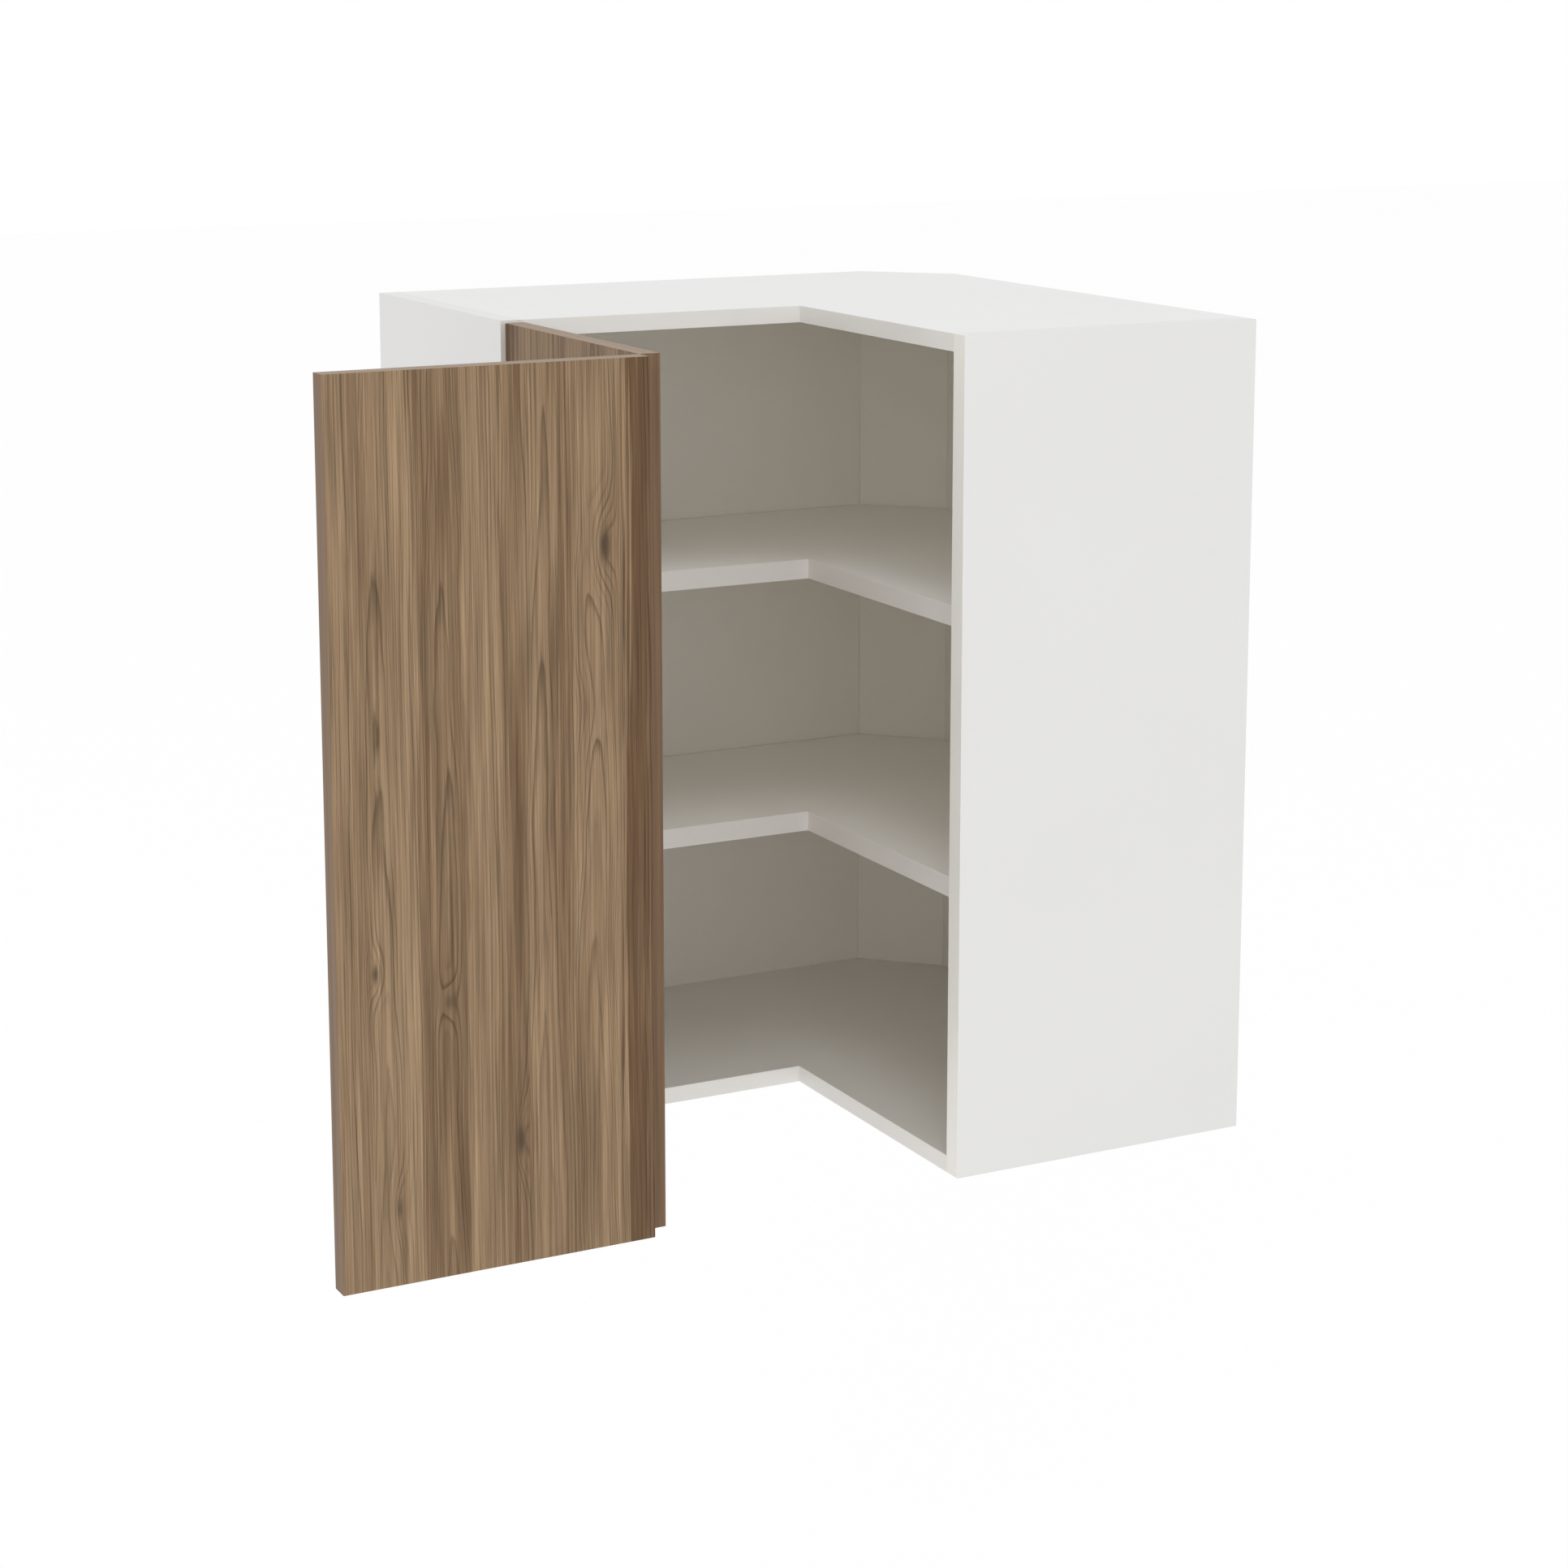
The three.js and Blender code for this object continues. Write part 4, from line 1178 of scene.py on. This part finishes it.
    def _lay_upright(
        self, bands: Growth, node: str, ends: Sequence[tuple[float, float]], material: Material
    ) -> None:
        """Lays the band of an end panel, as a short path across the panel with a tall section.

        Args:
            bands: the tree that lays edge bands.
            node: the panel's name.
            ends: where the path starts and ends, seen from above.
            material: the band's finish.
        """
        low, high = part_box(node)
        level = (low.z + high.z) / 2
        path = [Vector((*end, level)) for end in ends]
        self._lay(bands, node, path, high.z - low.z - 2 * self.band_end_gap, material)

    def _lay(
        self, bands: Growth, node: str, path: Sequence[Vector], height: float, material: Material
    ) -> None:
        """Lays one band.

        Args:
            bands: the tree that lays edge bands.
            node: the board that it is laid on.
            path: the corners of its path, at the middle of its height.
            height: its height.
            material: its finish.
        """
        name = f"{node}_front_band"
        sizes = {"Height": height, "Thickness": self.band_thickness, "Corner": self.band_corner}
        bands.grow(name, path_mesh(name, path), Body.CARCASS, slot_of_node(node), Material=material, **sizes)

    def _fittings(self, metal: Material, zinc: Material) -> None:
        """Builds the shelf pins, the cam locks and the hangers.

        Args:
            metal: the plated finish.
            zinc: the die-cast finish.
        """
        plastic = MouldedPlastic("white_plastic", self.plastic).make()
        finishes = {
            "shelf_pin_": (metal, self.metal_ease),
            "cam_lock_": (zinc, self.metal_ease),
            "hanger_housing_": (plastic, self.plastic_ease),
            "hanger_hook_": (zinc, self.hook_ease),
        }
        for node in sorted(frame["nodes"]):
            for start, (finish, ease) in finishes.items():
                if node.startswith(start):
                    Piece(node, [finish], ease).make()


@dataclass
class Door:
    """The two walnut leaves, square to each other."""

    ease: float = 0.0004
    hinged_lift: float = 0.31
    hinged_light: Colour = (0.325, 0.214, 0.118)
    hinged_dark: Colour = (0.124, 0.064, 0.026)
    # painted shade: the upright edges are a darker copy of the walnut edge band, against the lit level edges
    upright_shaded_light: Colour = (0.25, 0.155, 0.085)
    upright_shaded_dark: Colour = (0.13, 0.072, 0.036)

    def build(self) -> None:
        """Builds both leaves, veneered on their faces and banded on their edges."""
        flat = {
            axis: WalnutEdge(f"walnut_edge_{axis.name.lower()}", axis).make() for axis in (Axis.X, Axis.Y)
        }
        # painted shade: the upright edge band is a darker copy of the level edge band
        upright = WalnutEdge("walnut_edge_z", Axis.Z, self.upright_shaded_light, self.upright_shaded_dark).make()
        self._leaf(
            "door_leaf_hinged", Axis.X, Axis.Y, [flat[Axis.X], upright],
            lift=self.hinged_lift, mirrored=True, light=self.hinged_light, dark=self.hinged_dark,
        )
        self._leaf("door_leaf_free", Axis.Y, Axis.X, [flat[Axis.Y], upright])

    def _leaf(
        self, node: str, across: Axis, through: Axis, edges: Sequence[Material], **sheet: object
    ) -> None:
        """Builds one leaf.

        Args:
            node: the leaf's name.
            across: the direction of its width.
            through: the direction of its thickness.
            edges: the finishes of its level edges and its upright edges.
            **sheet: how its veneer is cut and toned.
        """
        low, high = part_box(node)
        start, end = low[across.value], high[across.value]
        veneer = Walnut(f"walnut_{node}", across, start, end - start, **sheet).make()

        def rule(middle: Vector, normal: Vector) -> int:
            """Returns 0 for veneer on the broad faces, 1 for a level band, 2 for an upright one."""
            if abs(normal[through.value]) > BROAD:
                return 0
            return 1 if abs(normal.z) > FLANK else 2

        Piece(node, [veneer, *edges], self.ease, rule).make()


@dataclass(frozen=True)
class ScrewGroup:
    """Screws that are alike and ride on one body: the way they look and their extra turn."""

    name: str
    body: Body
    slot: str
    big: bool
    facing: tuple[float, float, float]
    turn: float


PLATE_SCREWS = ScrewGroup("hinge_plate_screws", Body.CARCASS, "nickel", True, (0.0, 1.0, 0.0), 0.0)
ARM_SCREWS = ScrewGroup("hinge_arm_screws", Body.CARCASS, "nickel", False, (0.0, 1.0, 0.0), 1.1)
CUP_SCREWS = ScrewGroup("hinge_cup_screws", Body.HINGED_LEAF, "nickel", True, (0.0, 1.0, 0.0), 0.4)
HINGED_FLAP_SCREWS = ScrewGroup(
    "hinged_flap_screws", Body.HINGED_LEAF, "nickel", False, (0.0, -1.0, 0.0), 0.2
)
FREE_FLAP_SCREWS = ScrewGroup("free_flap_screws", Body.FREE_LEAF, "nickel", False, (-1.0, 0.0, 0.0), 0.6)
LEFT_HANGER_SCREWS = ScrewGroup("hanger_screws", Body.CARCASS, "zinc", True, (1.0, 0.0, 0.0), 0.0)
RIGHT_HANGER_SCREWS = ScrewGroup("hanger_screws", Body.CARCASS, "zinc", True, (0.0, -1.0, 0.0), 1.0)


@dataclass
class Hardware:
    """Concealed hinges, fold hinges and all the screws."""

    part_ease: float = 0.00025
    pin_ease: float = 0.00015
    big_radius: float = 0.0034
    big_recess: float = 0.0022
    small_radius: float = 0.0027
    small_recess: float = 0.0017
    head_height: float = 0.0009
    head_dome: float = 0.0006
    plate_screw_rise: float = 0.0185
    cup_screw_rise: float = 0.0245
    cup_screw_setback: float = 0.003
    arm_screw_start: float = 0.016
    arm_screw_step: float = 0.008
    flap_screw_rise: float = 0.0165
    flap_screw_inset: float = 0.0055
    hanger_screw_rise: float = 0.013
    hanger_turn: float = 40.0
    hinge_turn: float = 0.7
    side_turn: float = 0.9

    def build(self, screws: Growth, metal: Material, zinc: Material) -> None:
        """Builds the hinge parts and drives the screws.

        Args:
            screws: the tree that sets screw heads.
            metal: the plated finish.
            zinc: the die-cast finish.
        """
        for node in sorted(frame["nodes"]):
            if node.startswith(("hinge_plate", "hinge_arm_", "hinge_link", "hinge_cup", "fold_hinge")):
                pin = "_pin_" in node
                Piece(node, [zinc if pin else metal], self.pin_ease if pin else self.part_ease).make()
        steel = PlatedMetal("screw_steel", (0.62, 0.6, 0.57), 0.3).make()
        for group in (PLATE_SCREWS, ARM_SCREWS, CUP_SCREWS, HINGED_FLAP_SCREWS, FREE_FLAP_SCREWS):
            self._drive(screws, group, self._hinge_seats(group), steel)
        left = self._hanger_seats("left", LEFT_HANGER_SCREWS)
        right = self._hanger_seats("right", RIGHT_HANGER_SCREWS)
        self._drive(screws, LEFT_HANGER_SCREWS, left + right, steel)

    def _drive(self, screws: Growth, group: ScrewGroup, seats: Sequence[ScrewSeat], steel: Material) -> None:
        """Sets one group's screw heads.

        Args:
            screws: the tree that sets screw heads.
            group: the group.
            seats: its seats.
            steel: the screws' finish.
        """
        sizes = {
            "Radius": self.big_radius if group.big else self.small_radius,
            "Recess": self.big_recess if group.big else self.small_recess,
            "Height": self.head_height,
            "Dome": self.head_dome,
        }
        seed = seat_mesh(f"{group.name}_seats", seats)
        screws.grow(group.name, seed, group.body, group.slot, Material=steel, **sizes)

    def _hinge_seats(self, group: ScrewGroup) -> list[ScrewSeat]:
        """Places one group's screws, two on each of the three hinges.

        Args:
            group: the group.

        Returns:
            The screws' seats.
        """
        seats = []
        for hinge in (1, 2, 3):
            for side in (-1, 1):
                turn = self.hinge_turn * hinge + self.side_turn * side + group.turn
                seats.append(ScrewSeat(self._hinge_place(group, hinge, side), group.facing, turn))
        return seats

    def _hinge_place(self, group: ScrewGroup, hinge: int, side: int) -> tuple[float, float, float]:
        """Finds the middle of one hinge screw on the face that it holds.

        Args:
            group: the screw's group.
            hinge: the hinge's number.
            side: -1 for the first screw of the pair, 1 for the second.

        Returns:
            The place.
        """
        low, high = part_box(f"hinge_plate_{hinge}")
        level = (low.z + high.z) / 2
        if group is PLATE_SCREWS:
            wing = max(p.y for p in points_of_node(f"hinge_plate_{hinge}") if p.z > high.z - NEAR)
            return (low.x + high.x) / 2, wing, level + side * self.plate_screw_rise
        if group is ARM_SCREWS:
            low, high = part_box(f"hinge_arm_{hinge}")
            return low.x + self.arm_screw_start + side * self.arm_screw_step, high.y, level
        if group is CUP_SCREWS:
            low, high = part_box(f"hinge_cup_{hinge}")
            return (low.x + high.x) / 2 + self.cup_screw_setback, high.y, level + side * self.cup_screw_rise
        if group is HINGED_FLAP_SCREWS:
            flap = f"fold_hinge_flap_hinged_{hinge}"
            low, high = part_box(flap)
            face = min(p.y for p in points_of_node(flap) if p.x < low.x + NEAR)
            across = low.x + self.flap_screw_inset, face
        else:
            flap = f"fold_hinge_flap_free_{hinge}"
            low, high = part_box(flap)
            face = min(p.x for p in points_of_node(flap) if p.y < low.y + NEAR)
            across = face, low.y + self.flap_screw_inset
        return *across, (low.z + high.z) / 2 + side * self.flap_screw_rise

    def _hanger_seats(self, side: str, group: ScrewGroup) -> list[ScrewSeat]:
        """Places the two adjusting screws of one hanger.

        Args:
            side: the hanger's side.
            group: its screws' group.

        Returns:
            The screws' seats.
        """
        low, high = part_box(f"hanger_housing_{side}")
        middle = (low + high) / 2
        x, y = (high.x, middle.y) if side == "left" else (middle.x, low.y)
        return [
            ScrewSeat((x, y, middle.z + rise), group.facing, group.turn + rise * self.hanger_turn)
            for rise in (-self.hanger_screw_rise, self.hanger_screw_rise)
        ]


def aimed(name: str, data: bpy.types.ID, place: Sequence[float], way: Vector, front: str) -> bpy.types.Object:
    """Stands a light or a camera in the scene.

    Args:
        name: the object's name.
        data: the light or the camera.
        place: where it stands.
        way: the direction that it is turned by.
        front: which of its own axes points that way.

    Returns:
        The object.
    """
    stand = bpy.data.objects.new(name, data)
    stand.location = place
    stand.rotation_mode = "QUATERNION"
    stand.rotation_quaternion = way.to_track_quat(front, "Y")
    bpy.context.scene.collection.objects.link(stand)
    return stand


@dataclass
class Studio:
    """The floor, the light and the camera."""

    floor_level: float = -1.4
    floor_size: float = 60.0
    floor_colour: Colour = (0.995, 0.995, 0.995)
    floor_cloud: float = 0.003
    sky: float = 0.81
    sun: float = 0.62
    sun_direction: tuple[float, float, float] = (0.22, 0.0, 0.97)
    sun_angle: float = 50.0
    panel_place: tuple[float, float, float] = (2.4, -1.7, 1.7)
    panel_target: tuple[float, float, float] = (0.15, -0.15, 0.45)
    panel_size: float = 1.8
    panel_power: float = 8.0
    camera_place: tuple[float, float, float] = (2.9189, -1.6143, 1.0613)
    camera_yaw: float = 152.423
    camera_pitch: float = -10.179
    lens: float = 76.459
    sensor: float = 36.0
    shift: float = -0.13
    bounces: int = 10

    def build(self) -> None:
        """Builds the studio."""
        self._floor()
        self._surround()
        self._lights()
        self._camera()

    def _floor(self) -> None:
        """Lays a plain pale floor."""
        half = self.floor_size / 2
        mesh = bpy.data.meshes.new("floor")
        corners = [(-half, -half), (half, -half), (half, half), (-half, half)]
        mesh.from_pydata([(x, y, self.floor_level) for x, y in corners], [], [(0, 1, 2, 3)])
        desk = Desk("floor_paint")
        dim = toned(self.floor_colour, 1 - self.floor_cloud)
        tone = desk.mix(desk.noise(desk.place, 1.5, 2.0), dim, self.floor_colour)
        mesh.materials.append(desk.finish(Base_Color=tone, Roughness=0.9, Specular_IOR_Level=0.1))
        floor = bpy.data.objects.new("floor", mesh)
        bpy.context.scene.collection.objects.link(floor)

    def _surround(self) -> None:
        """Sets a surround that looks pure white, and lights the piece a little less than that."""
        scene = bpy.context.scene
        scene.world = bpy.data.worlds.new("surround")
        scene.world.use_nodes = True
        wiring = Wiring(scene.world.node_tree)
        glow = wiring.tree.nodes["Background"]
        sight = wiring.add("ShaderNodeLightPath").outputs["Is Camera Ray"]
        strength = wiring.add("ShaderNodeMapRange", {"Value": sight, "To Min": self.sky, "To Max": 1.0})
        wiring.feed(glow.inputs["Color"], (1.0, 1.0, 1.0, 1.0))
        wiring.feed(glow.inputs["Strength"], strength.outputs[0])
        scene.view_settings.view_transform = "Standard"
        scene.cycles.diffuse_bounces = self.bounces

    def _lights(self) -> None:
        """Hangs a very soft high light and a large panel high in front."""
        light = bpy.data.lights.new("high_light", "SUN")
        light.energy = self.sun
        light.angle = math.radians(self.sun_angle)
        aimed("high_light", light, (0.0, 0.0, 0.0), Vector(self.sun_direction), "Z")
        panel = bpy.data.lights.new("front_panel", "AREA")
        panel.size = self.panel_size
        panel.energy = self.panel_power
        way = Vector(self.panel_place) - Vector(self.panel_target)
        aimed("front_panel", panel, self.panel_place, way, "Z").visible_camera = False

    def _camera(self) -> None:
        """Places the camera."""
        camera = bpy.data.cameras.new("camera")
        camera.lens = self.lens
        camera.sensor_width = self.sensor
        camera.shift_y = self.shift
        yaw, pitch = math.radians(self.camera_yaw), math.radians(self.camera_pitch)
        level = math.cos(pitch)
        ahead = Vector((level * math.cos(yaw), level * math.sin(yaw), math.sin(pitch)))
        bpy.context.scene.camera = aimed("camera", camera, self.camera_place, ahead, "-Z")


def main() -> None:
    """Builds the studio and every sub-assembly."""
    logging.basicConfig(level=logging.INFO, format="%(name)s: %(message)s")
    Studio().build()
    metal = PlatedMetal("satin_nickel", (0.66, 0.64, 0.6), 0.3).make()
    zinc = PlatedMetal("die_cast_zinc", (0.55, 0.55, 0.55), 0.42).make()
    Carcass().build(band_growth(), metal, zinc)
    Door().build()
    Hardware().build(screw_growth(), metal, zinc)


if __name__ == "__main__":
    main()
